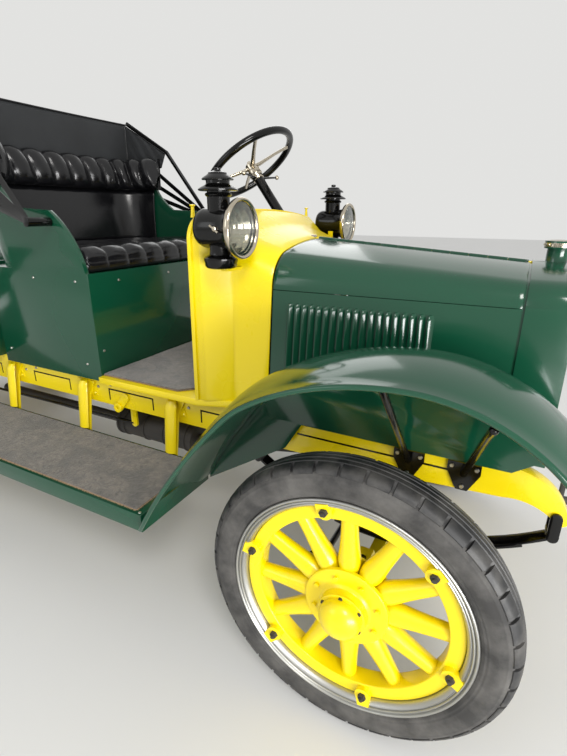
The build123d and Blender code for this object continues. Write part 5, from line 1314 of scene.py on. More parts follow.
        cell_points, cell_faces = self.strip(stations, heights, lift)
        cell = bpy.data.meshes.new("louvre_cell")
        cell.from_pydata([(p.x, p.y * side, p.z) for p in cell_points], [], cell_faces)
        row = self.louvre_row(cell, side, sizes, "green")
        last = first + sizes.pitch * sizes.louvres
        flats = []
        for start, end in ((HOOD_REAR_X + 0.0006, first), (last, HOOD_FRONT_X - 0.0006)):
            spots = [start, start + (end - start) / 2, end]
            flat_points, flat_faces = self.strip(spots, heights, lambda i, k, spots=spots: (spots[i], 0.0))
            flat = bpy.data.meshes.new("plain_end")
            flat.from_pydata([(p.x, p.y * side, p.z) for p in flat_points], [], flat_faces)
            flats.append(flat)
        whole = joined("hood_panel", [row, *flats], 42)
        shape = bmesh.new()
        shape.from_mesh(whole)
        rim = [edge for edge in shape.edges if edge.is_boundary]
        bmesh.ops.holes_fill(shape, edges=rim, sides=0)
        shape.to_mesh(whole)
        shape.free()
        return clean(whole, 42)

    def gaps(self, side, sizes):
        """Dark slips of painted shade in the mouths at the louvres' rear edges."""
        x = LOUVRE_FIRST_X - sizes.width / 2
        full = sizes.rise * 0.6
        line = ((0.895, 0.0004), (0.905, full), (1.14, full), (1.15, 0.0004))
        corners = [(x + 0.0001, self.plate_y(x, z) + out, z) for z, out in line]
        mouth = build("mouth", [mirrored(prism(corners, (-0.0007, 0, 0)), side)])
        return self.louvre_row(mouth, side, sizes, "dark")

    def louvre_row(self, mesh, side, sizes, finish):
        """The mesh once for each louvre, along the panel's slant."""
        slope = -HOOD_NARROWS / HOOD_LENGTH
        return in_row(mesh, sizes.louvres, (sizes.pitch, side * slope * sizes.pitch, 0.0), finish)

    def catches(self, side):
        """Two small spring catches at the panel's foot."""
        parts = []
        for x in (1.43, 1.93):
            foot = Vector((x, self.plate_y(x, 0.835) + 0.004, 0.835))
            path = [foot, foot + Vector((0.004, 0.008, -0.01)), foot + Vector((0.006, 0.008, -0.026))]
            parts.append(tube(path, [0.0042, 0.0036, 0.003], 10))
            washer = [(0.0, 0.0), (0.011, 0.0), (0.01, 0.003), (0.0, 0.004)]
            parts.append(lathe(washer, foot - Vector((0, 0.004, 0)), (0, 1, 0), 20))
        return build("catches", [mirrored(part, side) for part in parts])

    def hinge(self):
        """Knuckles of the centre hinge."""
        start = Vector((HOOD_REAR_X + 0.004, 0, 1.3415))
        end = Vector((HOOD_FRONT_X - 0.004, 0, 1.2895))
        count = 12
        run = end - start
        along = run.normalized()
        length = run.length / count
        radius, end_x = 0.0064, length * 0.992
        profile = rounded([(0.0, 0.0), (radius, 0.0), (radius, end_x), (0.0, end_x)], 0.0024)
        knuckle = build("knuckle", [lathe(profile, start, along, 20)])
        return in_row(knuckle, count, tuple(along * length), "green")


class TRUCK_OT_lamps(bpy.types.Operator):
    """Makes the two cowl lamps: turned body, chimney caps, bezel, reflector and glass"""

    bl_idname = "truck.lamps"
    bl_label = "Cowl lamps"

    def execute(self, context):
        x, z = FRONT_X - 0.547, 1.385
        for name, side in SIDES:
            y = side * 0.46
            body = BODY_OF["lamp_bodies"]
            parts = [
                lathe(self.body_profile(), (x - 0.012, y, 0), (0, 0, 1), 72),
                lathe(self.barrel_profile(), (x, y, z), (1, 0, 0), 72),
                self.bail(x, y, side),
            ]
            replaced = ("lamp_bodies", "lamp_lenses") if side > 0 else ()
            piece(f"lamp_{name}", build("lamp", parts, 34), "black", body, replaced)
            bright = [
                lathe(self.bezel_profile(), (x, y, z), (1, 0, 0), 96),
                lathe(self.reflector_profile(), (x, y, z), (1, 0, 0), 72),
                *self.clip(x, y, z, side),
            ]
            piece(f"lamp_bright_{name}", build("bright", bright, 34), "nickel", body)
            glass = build("glass", [lathe(self.glass_profile(), (x, y, z), (1, 0, 0), 64)], 50)
            piece(f"lamp_glass_{name}", glass, "glass", body)
            piece(f"lamp_bracket_{name}", build("bracket", self.bracket(x, side)), "yellow", body)
        return {"FINISHED"}

    def body_profile(self):
        """Foot, neck, chimney and its two brimmed caps, as (radius, height)."""
        return [
            (0.0, 1.2664), (0.036, 1.2664), (0.0455, 1.2695), (0.05, 1.2755), (0.0508, 1.285),
            (0.0532, 1.2935), (0.053, 1.298), (0.048, 1.303), (0.04, 1.3058), (0.0352, 1.3085),
            (0.034, 1.314), (0.034, 1.34), (0.034, 1.474), (0.0375, 1.476), (0.04, 1.48), (0.0385, 1.484),
            (0.0335, 1.486), (0.0335, 1.49), (0.04, 1.4905), (0.054, 1.49), (0.0588, 1.4915),
            (0.0592, 1.4945), (0.056, 1.4975), (0.046, 1.503), (0.037, 1.5075), (0.035, 1.511),
            (0.035, 1.519), (0.04, 1.5195), (0.046, 1.52), (0.047, 1.523), (0.043, 1.527), (0.033, 1.533),
            (0.028, 1.537), (0.027, 1.54), (0.02, 1.543), (0.012, 1.545), (0.01, 1.5475), (0.0105, 1.551),
            (0.0085, 1.553), (0.0, 1.554),
        ]

    def barrel_profile(self):
        """Barrel that runs full width into the bezel, hollow, as (radius, distance forwards)."""
        return [
            (0.0, -0.082), (0.03, -0.082), (0.044, -0.08), (0.0525, -0.074), (0.0575, -0.064),
            (0.059, -0.052), (0.0585, -0.02), (0.059, 0.01), (0.061, 0.028), (0.0655, 0.042),
            (0.073, 0.0525), (0.0795, 0.059), (0.0805, 0.066), (0.0785, 0.066), (0.0775, 0.06),
            (0.07, 0.054), (0.059, 0.04), (0.048, 0.028), (0.04, 0.019), (0.0, 0.009),
        ]

    def bezel_profile(self):
        """Rolled bezel around the glass, as (radius, distance forwards)."""
        line = [
            (0.079, 0.058), (0.083, 0.056), (0.0865, 0.06), (0.0885, 0.066), (0.0885, 0.071),
            (0.086, 0.0755), (0.082, 0.0765), (0.0775, 0.0735), (0.0755, 0.0705), (0.0765, 0.069),
            (0.0795, 0.07), (0.08, 0.064),
        ]
        return rounded(line, 0.0012, 2)

    def reflector_profile(self):
        """Dished reflector behind the glass."""
        front = [
            (0.006 + 0.069 * s / 28, 0.014 + 0.046 * (s / 28) ** 2 + 0.001 * sin(s * 1.1))
            for s in range(29)
        ]
        back = [(r, d - 0.0012) for r, d in reversed(front)]
        return front + back

    def glass_profile(self):
        """Bulged glass, thickest in its middle."""
        front = [(0.0762 * s / 10, 0.0762 - 0.0062 * (s / 10) ** 2) for s in range(11)]
        back = [(0.0762 * s / 10, 0.0722 - 0.0042 * (s / 10) ** 2) for s in range(10, -1, -1)]
        return front + back

    def clip(self, x, y, z, side):
        """Thumb nut on the belly's outer side."""
        spot = Vector((x + 0.012, y + side * 0.0575, z))
        profile = rounded([(0.0, 0.0), (0.008, 0.0), (0.008, 0.007), (0.0045, 0.01), (0.0, 0.01)], 0.001)
        bar = ((-0.014, 0.01), (0, 0), (0.014, -0.01))
        line = [spot + Vector((reach, side * 0.008, rise)) for reach, rise in bar]
        return lathe(profile, spot, (0, side, 0), 24), tube(line, [0.0036, 0.0024, 0.0036], 10)

    def bracket(self, x, side):
        """Angle bracket from the cowl to the barrel."""
        arm = block((x - 0.004, 0.372, 1.318), (x + 0.018, 0.418, 1.3225))
        ear = block((x - 0.004, 0.396, 1.3225), (x + 0.018, 0.4005, 1.352))
        return [mirrored(arm, side), mirrored(ear, side)]

    def bail(self, x, y, side):
        """Flat lug between the lamp's foot and the cowl's bracket."""
        low = (x - 0.012, min(y - side * 0.03, y + side * 0.006), 1.2664)
        high = (x + 0.012, max(y - side * 0.03, y + side * 0.006), 1.27)
        return block(low, high)


class TRUCK_OT_steering_wheel(bpy.types.Operator):
    """Makes the steering wheel: black rim, four-armed spider and hub nut"""

    bl_idname = "truck.steering_wheel"
    bl_label = "Steering wheel"

    def execute(self, context):
        centre, up = STEER_CENTRE, STEER_UP
        side_way = Vector((0, 1, 0))
        other = up.cross(side_way)
        rim = build("rim", [ring(centre, up, 0.215, 0.0155, 112, 20)], 60)
        piece("wheel_rim", rim, "black", BODY_OF["steering_wheel"], ("steering_wheel",))
        hub = [
            (0.0, -0.078), (0.026, -0.078), (0.026, -0.06), (0.03, -0.056), (0.03, -0.034),
            (0.0245, -0.026), (0.0245, 0.0), (0.018, 0.006), (0.0, 0.006),
        ]
        parts = [lathe(rounded(hub, 0.002), centre, up, 48)]
        for i in range(4):
            turn = radians(45 + 90 * i)
            out = side_way * cos(turn) + other * sin(turn)
            path = [centre + out * reach + up * drop for reach, drop in (
                (0.012, -0.014), (0.04, -0.015), (0.08, -0.011), (0.13, -0.006), (0.175, -0.004),
                (0.203, -0.003),
            )]
            parts.append(tube(path, [0.0085, 0.008, 0.0068, 0.006, 0.0058, 0.007], 16, 1.5, up))
        piece("wheel_spider", build("spider", parts, 40), "nickel", BODY_OF["steering_wheel"])
        nut = heads([(centre + up * 0.006, up)], 0.011, 0.008, 6, "nickel", 0.85)
        piece("wheel_nut", nut, "nickel", BODY_OF["steering_wheel"])
        return {"FINISHED"}


class TRUCK_OT_upholstery(bpy.types.Operator):
    """Makes the pleated seat cushion and the pleated roll of the back"""

    bl_idname = "truck.upholstery"
    bl_label = "Upholstery"
    facing = {"top": (0, 0, 1), "front": (1, 0, 0), "roll": (0.7, 0, 0.7), "rest": (0, 0, 0)}

    def execute(self, context):
        sizes = context.scene.truck_upholstery
        cushion = piece(
            "pleated_cushion", self.cushion(sizes), "leather", BODY_OF["seat_cushion"], ("seat_cushion",),
        )
        roll = piece(
            "pleated_roll", self.roll(sizes), "leather", BODY_OF["seat_back_cushion"],
            ("seat_back_cushion",),
        )
        panel = piece("back_panel", self.panel(), "leather", BODY_OF["seat_body"])
        return {"FINISHED"}

    def pleat(self, run, pitch):
        """Height of a pleat between two seams, 0 in the seam and 1 on its crown."""
        return abs(sin(pi * run / pitch)) ** 0.55

    def cushion(self, sizes):
        """Seat cushion in pleats from front to back, crowned, with its rear corners rounded."""
        half, front, rear, low, high = 0.427, SEAT_FRONT_X - 0.016, SEAT_FRONT_X - 0.588, 1.2086, 1.306
        pleats = round(2 * half / sizes.pleat)
        pitch = 2 * half / pleats
        rows = []
        for i in range(pleats * 16 + 1):
            y = -half + 2 * half * i / (pleats * 16)
            fullness = self.pleat(y + half, pitch)
            edge = 1 - min(1.0, (half - abs(y)) / 0.03)
            shrink = 1 - (1 - (1 - edge**2) ** 0.5) * 0.55
            corner = max(0.0, abs(y) - (half - 0.158))
            back = rear + 0.158 - (0.158**2 - corner**2) ** 0.5
            row = []
            profile = self.cushion_profile(back, front, low, high)
            middle_z = (low + high) / 2
            for x, z, puff, way in profile:
                crumple = 0.004 * noise.noise(Vector((x * 16, y * 20, z * 16)))
                lift = puff * (sizes.puff * (fullness - 1) + crumple)
                # Tucks run down the front face from each seam
                tuck = 0.0
                if way == "front":
                    seam = abs(((y + half) / pitch + 0.5) % 1 - 0.5)
                    tuck = -0.0045 * max(0.0, 1 - seam * 7) * max(0.0, (z - low - 0.02) / (high - low))
                spot = Vector((x, y, z)) + Vector(self.facing[way]) * (lift + tuck)
                spot.z = middle_z + (spot.z - middle_z) * shrink if way != "rest" else spot.z
                row.append(spot)
            rows.append(row)
        return build("cushion", [closed_rows(rows)], 180)

    def cushion_profile(self, back, front, low, high):
        """Section seen from the side: points with how much they puff and where they face."""
        line = [(front - 0.012, low, 0.0, "rest"), (front - 0.003, low + 0.006, 0.1, "front")]
        for i in range(6):
            line.append((front - 0.001 + 0.004 * sin(pi * i / 5), low + 0.012 + 0.03 * i / 5, 0.25, "front"))
        radius = 0.05
        for i in range(1, 11):
            turn = radians(90 * i / 10)
            x, z = front - radius + radius * cos(turn), high - radius + radius * sin(turn)
            line.append((x, z, 0.3 + 0.7 * i / 10, "roll"))
        for i in range(1, 15):
            share = i / 14
            x = front - radius + (back + 0.03 - front + radius) * share
            line.append((x, high + 0.004 * sin(pi * share) - 0.014 * share**2, 1.0, "top"))
        line += [
            (back + 0.01, high - 0.028, 0.2, "top"), (back, high - 0.05, 0.0, "rest"),
            (back, low + 0.008, 0.0, "rest"), (back + 0.01, low, 0.0, "rest"),
        ]
        for i in range(1, 5):
            line.append((back + 0.01 + (front - 0.012 - back - 0.01) * i / 5, low, 0.0, "rest"))
        return line

    def back_path(self, z, inset, steps=150):
        """Points and inward directions along the seat back at one height."""
        share = (z - 1.208) / 0.442
        half, rear = 0.45 + 0.025 * share, SEAT_FRONT_X - 0.62 - 0.07 * share
        radius, front = 0.18, SEAT_FRONT_X - 0.402
        straight = front - (rear + radius)
        bend = radius * pi / 2
        back = 2 * (half - radius)
        total = 2 * straight + 2 * bend + back
        spots = []
        for i in range(steps + 1):
            run = total * i / steps
            if run <= straight:
                spots.append((Vector((front - run, -half + inset, z)), Vector((0, 1, 0)), run))
            elif run <= straight + bend:
                turn = (run - straight) / radius
                way = Vector((sin(turn), cos(turn), 0))
                centre = Vector((rear + radius, -half + radius, z))
                spots.append((centre - way * (radius - inset), way, run))
            elif run <= straight + bend + back:
                spot = Vector((rear + inset, -half + radius + run - straight - bend, z))
                spots.append((spot, Vector((1, 0, 0)), run))
            elif run <= straight + 2 * bend + back:
                turn = (run - straight - bend - back) / radius
                way = Vector((cos(turn), -sin(turn), 0))
                centre = Vector((rear + radius, half - radius, z))
                spots.append((centre - way * (radius - inset), way, run))
            else:
                gone = run - straight - 2 * bend - back
                spots.append((Vector((rear + radius + gone, half - inset, z)), Vector((0, -1, 0)), run))
        return spots, total

    def roll(self, sizes):
        """Roll along the top of the seat back, stitched into upright pleats with a scalloped upper edge."""
        low, high, wall = 1.5455, 1.698, 0.0186
        _, total = self.back_path((low + high) / 2, wall)
        pleats = round(total / sizes.pleat)
        pitch = total / pleats
        steps = pleats * 16
        section = []
        for i in range(9):
            section.append((0.0, i / 8))
        for i in range(1, 22):
            turn = pi * i / 22
            section.append((abs(sin(turn)) ** 0.62, 0.5 + 0.5 * cos(turn)))
        levels = {}
        rows = []
        for i in range(steps + 1):
            row = []
            for depth, share in section:
                z = low + (high - low) * share
                if z not in levels:
                    levels[z] = self.back_path(z, wall, steps)[0]
                spot, way, run = levels[z][i]
                fullness = self.pleat(run, pitch)
                end = min(1.0, max(0.0, min(run, total - run)) / 0.03)
                thick = 0.07 * (0.6 + 0.4 * fullness) * (end**0.5)
                top = 0.012 * fullness * max(0.0, share - 0.8) / 0.2 - 0.009 * (1 - fullness) * share
                crease = 0.0016 * noise.noise(Vector((run * 40, share * 4, 0.0))) * depth
                row.append(spot + way * (thick * depth + crease) + Vector((0, 0, top)))
            rows.append(row)
        return build("roll", [closed_rows(rows)], 180)

    def panel(self):
        """Plain quilted sheet of the back below the roll."""
        rows = []
        for k in range(9):
            z = 1.272 + (1.552 - 1.272) * k / 8
            spots, total = self.back_path(z, 0.019, 120)
            cut = [
                spot + way * (0.01 * sin(pi * min(1.0, max(0.0, (k + 0.35) / 8.7))) ** 0.5)
                for spot, way, run in spots if 0.035 < run < total - 0.035
            ]
            rows.append(cut)
        fewest = min(len(row) for row in rows)
        rows = [row[:fewest] for row in rows]
        rows.reverse()
        return build("panel", [shell(rows, -0.004)], 180)


class TRUCK_OT_folded_top(bpy.types.Operator):
    """Makes the folded cloth top behind the seat with its side flaps and piped edges"""

    bl_idname = "truck.folded_top"
    bl_label = "Folded top"

    def execute(self, context):
        bundle = piece("cloth_bundle", self.bundle(), "cloth", BODY_OF["folded_top"], ("folded_top",))
        for name, side in SIDES:
            flap = piece(f"cloth_flap_{name}", self.flap(side), "cloth", BODY_OF["folded_top"])
        piece("top_piping", self.piping(), "leather", BODY_OF["folded_top"])
        return {"FINISHED"}

    def outline(self):
        """Section of the bundle: flat front, round belly behind, as (x, z, how loose)."""
        x = SEAT_FRONT_X
        line = [(x - 0.706, 1.902 - 0.342 * i / 14, 0.35) for i in range(15)]
        for i in range(1, 9):
            turn = pi * i / 8
            below = x - 0.762 + 0.056 * cos(turn) - 0.003 * i / 8
            line.append((below, 1.562 - 0.034 * sin(turn) + 0.006 * i / 8, 0.5))
        for i in range(1, 13):
            share = i / 12
            bulge = sin(pi * share)
            line.append((x - 0.819 + 0.03 * share**2 - 0.026 * bulge, 1.57 + 0.28 * share, 1.0))
        for i in range(1, 7):
            share = i / 6
            line.append((x - 0.79 + 0.08 * share, 1.85 + 0.05 * sin(share * pi / 2), 0.5 * (1 - share) + 0.2))
        return line

    def bundle(self):
        """The folded cloth across the truck: layers, sag and ripples between its two tucked ends."""
        section = self.outline()
        middle_x = sum(p[0] for p in section) / len(section)
        middle_z = sum(p[1] for p in section) / len(section)
        rows = []
        half = 0.542
        for i in range(91):
            y = -half + 2 * half * i / 90
            end = min(1.0, (half - abs(y)) / 0.022)
            shrink = 0.86 + 0.14 * (1 - (1 - end) ** 2) ** 0.5
            row = []
            for k, (x, z, loose) in enumerate(section):
                inward = Vector((middle_x - x, 0, middle_z - z)).normalized()
                drift = 0.8 * noise.noise(Vector((y * 2.2, 3.0, 0)))
                layer = abs(sin(k * 0.72 + drift)) ** 0.5 if loose >= 1.0 else 1.0
                sag = 0.5 + 0.5 * noise.noise(Vector((x * 3, y * 6.5 + z * 3.2, z * 5)))
                ripple = 0.5 + 0.5 * noise.noise(Vector((x * 8, y * 17, z * 8 + 4)))
                depth = loose * (0.012 * (1 - layer) + 0.013 * sag + 0.005 * ripple)
                spot = Vector((x, y, z)) + inward * depth
                spot.x = middle_x + (spot.x - middle_x) * shrink
                spot.z = middle_z + (spot.z - middle_z) * (0.93 + 0.07 * shrink)
                row.append(spot)
            rows.append(row)
        return build("bundle", [closed_rows(rows)], 180)

    def flap(self, side):
        """Side flap between the bow and the front iron, with diagonal folds."""
        x = SEAT_FRONT_X
        top = [Vector((x - 0.73, 0, 1.905)), Vector((x - 0.428, 0, 1.738))]
        low = [Vector((x - 0.735, 0, 1.642)), Vector((x - 0.462, 0, 1.668))]
        rows = []
        for i in range(25):
            s = i / 24
            row = []
            for k in range(21):
                t = k / 20
                spot = (low[0] * (1 - s) + low[1] * s) * (1 - t) + (top[0] * (1 - s) + top[1] * s) * t
                droop = 0.01 * sin(pi * s) * (1 - t)
                wave = (s * 1.4 + t) * 15.0 + 1.2 * noise.noise(Vector((s * 3, t * 3, 1)))
                fold = 0.0034 * sin(wave) * sin(pi * s) ** 0.4
                spot.y = side * 0.5375 + fold
                spot.z -= droop
                row.append(spot)
            rows.append(row)
        return build("flap", [shell(rows, 0.0022)], 180)

    def piping(self):
        """Leather welt along the bundle's upper front edge and down the flaps' edges."""
        x = SEAT_FRONT_X
        across = [
            Vector((x - 0.705, -0.54 + 1.08 * i / 40, 1.9 - 0.004 * sin(pi * i / 40))) for i in range(41)
        ]
        parts = [tube(across, [0.0042] * 41, 10)]
        for side in (1, -1):
            line = ((0.708, 0.5375, 1.893), (0.57, 0.538, 1.817), (0.43, 0.5375, 1.739))
            edge = [Vector((x - back, side * out, z)) for back, out, z in line]
            parts.append(tube(edge, [0.0034] * 3, 10))
        return build("piping", parts, 60)


class TRUCK_OT_carpets(bpy.types.Operator):
    """Makes the floor carpet and the two step carpets with their frayed jute edges"""

    bl_idname = "truck.carpets"
    bl_label = "Carpets"

    def execute(self, context):
        x = SEAT_FRONT_X
        front = FRONT_X - 0.734
        floor_line = [
            (x + 0.004, -0.439), (front - 0.06, -0.439), (front, -0.379), (front, 0.379),
            (front - 0.06, 0.439), (x + 0.004, 0.439),
        ]
        self.carpet("floor_carpet", floor_line, 0.8004, 0.0098, "floor_mat", (front - x - 0.004, 0.878))
        rear, end, inner, outer = -0.815, 1.054, 0.46, 0.785
        for name, side in SIDES:
            line = [(rear, side * inner), (end, side * inner), (end, side * outer), (rear, side * outer)]
            node = "step_mats" if name == "right" else None
            self.carpet(f"step_carpet_{name}", line, 0.5274, 0.0066, node, (end - rear, outer - inner))
        return {"FINISHED"}

    def carpet(self, name, line, low, thick, node, flat):
        """One cut of carpet: a tufted upper face, a backing, and loose ends along the cut."""
        mesh = self.pile(line, low, thick)
        body = BODY_OF[node or "step_mats"]
        made = piece(name, mesh, "mat", body, (node,) if node else ())
        fringe = piece(name + "_edge", self.fringe(line, low, thick), "jute", body)

    def pile(self, line, low, thick):
        """The carpet's body in small squares, its upper face tufted by noise."""
        shape = bmesh.new()
        corners = [shape.verts.new((x, y, low)) for x, y in line]
        shape.faces.new(corners)
        step = 0.012
        xs, ys = [p[0] for p in line], [p[1] for p in line]
        for axis, (start, end) in enumerate(((min(xs), max(xs)), (min(ys), max(ys)))):
            count = int((end - start) / step)
            for i in range(1, count):
                place = [0.0, 0.0, low]
                place[axis] = start + (end - start) * i / count
                way = [0.0, 0.0, 0.0]
                way[axis] = 1.0
                geometry = shape.verts[:] + shape.edges[:] + shape.faces[:]
                bmesh.ops.bisect_plane(shape, geom=geometry, plane_co=place, plane_no=way)
        result = bmesh.ops.extrude_face_region(shape, geom=shape.faces[:], use_keep_orig=True)
        for item in result["geom"]:
            if isinstance(item, bmesh.types.BMVert):
                tuft = noise.noise(Vector((item.co.x * 60, item.co.y * 60, 0.5)))
                patch = noise.noise(Vector((item.co.x * 9, item.co.y * 9, 2.5)))
                item.co.z += thick * (0.8 + 0.16 * tuft + 0.1 * patch)
        mesh = bpy.data.meshes.new("pile")
        shape.to_mesh(mesh)
        shape.free()
        return clean(mesh, 70)

    def fringe(self, line, low, thick):
        """Short frayed ends along the cut, uneven by noise."""
        ends = []
        count = len(line)
        for i in range(count):
            a, b = Vector((*line[i], low)), Vector((*line[(i + 1) % count], low))
            run = (b - a).length
            along = (b - a).normalized()
            out = Vector((along.y, -along.x, 0))
            pieces = int(run / 0.006)
            middle_line = Vector((sum(p[0] for p in line) / count, sum(p[1] for p in line) / count, low))
            if ((a + b) / 2 - middle_line) @ out < 0:
                out = -out
            for k in range(pieces):
                flare = noise.noise(Vector((i * 7.1, k * 0.77, 0)))
                spot = a + along * (run * (k + 0.5) / pieces) + Vector((0, 0, thick * 0.35))
                stray = 0.005 * noise.noise(Vector((k * 1.3, i, 5)))
                tip = spot + out * (0.0052 + 0.0034 * flare) + along * stray
                tip.z = low + thick * (0.25 + 0.25 * flare)
                ends.append(tube([spot - out * 0.004, tip], [0.0028, 0.0012], 5))
        return build("fringe", ends, 50)


class TRUCK_OT_trim(bpy.types.Operator):
    """Adds the pinstripes, rivets, bolts, screws and small cowl fittings"""

    bl_idname = "truck.trim"
    bl_label = "Trim"

    def execute(self, context):
        stripes = [part for side in (1, -1) for bay in self.bays() for part in self.outline(bay, side)]
        for name, mesh, finish, node in (
            ("pinstripes", build("pinstripes", stripes), "black", "frame_rails"),
            ("rail_rivets", self.rivets(), "yellow", "frame_rails"),
            ("strap_gussets", build("gussets", self.gussets(), 30), "yellow", "board_irons"),
            ("rail_screws", self.screws(), "steel", "frame_rails"),
            ("sill_strips", build("strips", self.strips()), "yellow", "frame_rails"),
            ("seat_screws", self.seat_screws(), "steel", "seat_body"),
            ("cowl_trim", self.cowl_trim(), "yellow", "cowl"),
            ("apron_welts", build("welts", self.welts(), 40), "green", "front_fenders"),
            ("step_screws", self.step_screws(), "steel", "running_boards"),
            ("iron_plates", build("plates", self.plates(), 30), "black", "fender_irons"),
            ("plate_bolts", self.plate_bolts(), "steel", "fender_irons"),
            ("bracket_straps", build("straps", self.straps(), 34), "yellow", "board_irons"),
            ("rod_sleeves", build("sleeves", self.sleeves(), 40), "black", "brake_rods"),
            ("wheel_levers", self.lever_ends(), "nickel", "steering_column"),
            ("muffler_bands", build("bands", self.bands(), 40), "iron", "exhaust"),
            ("lever_eyes", build("eyes", self.eyes(), 40), "yellow", "brake_rods"),
        ):
            piece(name, mesh, finish, BODY_OF[node])
        return {"FINISHED"}

    def bays(self):
        """Start and end of each striped bay along the rail."""
        return (
            (1.44, FRONT_X + 0.245), (1.03, 1.33), (0.545, 0.795), (0.055, 0.305), (-0.44, -0.19),
            (-0.93, -0.68),
        )

    def outline(self, bay, side):
        """Three thin lines, open below; the bay behind the front wheel has only its upper line."""
        start, end = bay
        y = RAIL_Y
        line, low, high = 0.0065, 0.672, 0.7255
        corners = (
            ((start, high - line), (end, high)), ((start, low), (start + line, high - line)),
            ((end - line, low), (end, high - line)),
        )
        parts = []
        if start > FRONT_X - 0.4:
            corners = corners[:1]
        for (x0, z0), (x1, z1) in corners:
            parts.append(mirrored(block((x0, y - 0.0002, z0), (x1, y + 0.0005, z1)), side))
        return parts

    def rivets(self):
        """Three rivets to each bracket plate on the rail."""
        corners = ((0, 0.752), (-0.043, 0.69), (0.043, 0.69))
        places = [(x + shift, z) for x in BOARD_IRON_X for shift, z in corners]
        return heads(on_sides(places, RAIL_Y + 0.0048), 0.0072, 0.0045, 14, "yellow", 0.5)

    def gussets(self):
        """Three-cornered plates behind the board irons, apex upwards."""
        parts = []
        line = (
            (-0.055, 0.68), (-0.051, 0.699), (-0.012, 0.764), (0.012, 0.764), (0.051, 0.699),
            (0.055, 0.68),
        )
        for x in BOARD_IRON_X:
            corners = [Vector((x + shift, RAIL_Y + 0.0002, z)) for shift, z in line]
            parts += both(prism(corners, (0, 0.0036, 0)))
        return parts

    def screws(self):
        """Slotted steel screws between the bays."""
        places = ((0.485, 0.722), (0.562, 0.742), (0.975, 0.722), (0.0, 0.722), (0.078, 0.742))
        return heads(on_sides(places, RAIL_Y), 0.0068, 0.0032, 16, "steel", 0.8)

    def strips(self):
        """Stepped strips along the top of the rails below the floor and the seat."""
        floor = block((SEAT_FRONT_X + 0.004, RAIL_Y, 0.767), (1.062, RAIL_Y + 0.006, 0.7745))
        seat = block((-0.12, RAIL_Y, 0.7665), (SEAT_FRONT_X, RAIL_Y + 0.005, 0.7745))
        return both(floor) + both(seat)

    def seat_screws(self):
        """Small bright screws on the seat box and arms."""
        on_front = ((-0.3, 1.17), (0.0, 1.17), (0.3, 1.17), (-0.42, 0.9), (0.42, 0.9))
        spots = [(Vector((SEAT_FRONT_X, y, z)), (1, 0, 0)) for y, z in on_front]
        spots += on_sides(((0.5, 1.176), (0.25, 1.176), (0.5, 0.84), (0.0, 0.84)), 0.45)
        return heads(spots, 0.0055, 0.0025, 14, "steel", 0.75)

    def cowl_trim(self):
        """Knobs on the cowl's rear corners."""
        parts = []
        for side in (1, -1):
            spot = Vector((FRONT_X - 0.681, side * 0.43, 1.415))
            knob = [
                (0.0, 0.0), (0.0082, 0.0), (0.0068, 0.008), (0.0055, 0.024), (0.005, 0.033),
                (0.0095, 0.0355), (0.0095, 0.0385), (0.0, 0.04),
            ]
            parts.append(lathe(rounded(knob, 0.0008), spot, (0, 0, 1), 24))
        return build("cowl_trim", parts, 40)

    def welts(self):
        """Welts that close the aprons to the front fenders' inner edges."""
        point, lean, line = Vector((FRONT_X + 0.12, 1.105)), 0.0, []
        for radius, turn in ((0.734, 31), (0.39, 16), (2.28, 13.6)):
            centre = point - Vector((sin(lean), cos(lean))) * radius
            for i in range(13):
                here = lean - radians(turn) * i / 12
                line.append((centre + Vector((sin(here), cos(here))) * radius, here))
            lean -= radians(turn)
            point = line[-1][0]
        rows = []
        for i, (spot, here) in enumerate(line[14:]):
            inward = Vector((sin(here), cos(here)))
            near, far = spot - inward * 0.003, spot - inward * (0.058 - 0.0016 * i)
            rows.append([Vector((near.x, 0.4275, near.y)), Vector((far.x, 0.4275, far.y))])
        return both(shell(rows, 0.003))

    def step_screws(self):
        """Bright screws at the corners of the running boards."""
        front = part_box("running_boards")[1]
        y, ends = front.y - 0.012, (front.x - 0.014, -0.82)
        spots = [(Vector((x, side * y, front.z)), (0, 0, 1)) for side in (1, -1) for x in ends]
        return heads(spots, 0.0055, 0.0022, 14, "steel", 0.75)

    def plate_bolts(self):
        """Bolts of the fender irons' plates on the rail."""
        corners = ((-0.034, 0.745), (0.034, 0.745), (0.0, 0.683))
        places = [(x + shift, z) for x in FENDER_PLATE_X for shift, z in corners]
        return heads(on_sides(places, RAIL_Y + 0.0085), 0.0072, 0.005, 6, "steel", 0.85)

    def plates(self):
        """Five-sided plates that carry the fender irons."""
        parts = []
        for x in FENDER_PLATE_X:
            line = [
                (-0.046, 0.758), (0.046, 0.758), (0.046, 0.728), (0.016, 0.67), (-0.016, 0.67),
                (-0.046, 0.728),
            ]
            corners = [Vector((x + shift, RAIL_Y + 0.0003, z)) for shift, z in line]
            parts += both(prism(corners, (0, 0.0082, 0)))
        return parts

    def straps(self):
        """Pressed straps over the board irons, with a rounded back and a hump below the rail's edge."""
        parts = []
        line = (
            (0.4085, 0.748), (0.42, 0.742), (0.429, 0.726), (0.433, 0.7), (0.4395, 0.64), (0.447, 0.58),
            (0.452, 0.536),
        )
        for x in BOARD_IRON_X:
            rows = []
            for y, z in line:
                wide = 0.01 if z > 0.745 else 0.018 if z > 0.735 else 0.0245 if z > 0.62 else 0.0225
                bulge = 0.0 if z > 0.745 else 0.0065
                across = (-1, -0.92, -0.7, -0.35, 0, 0.35, 0.7, 0.92, 1)
                row = [(x + wide * s, y + bulge * (1 - s * s) ** 0.5 - 0.004 * s * s, z) for s in across]
                rows.append([Vector(p) for p in row])
            parts += both(shell(rows, 0.005))
        return parts

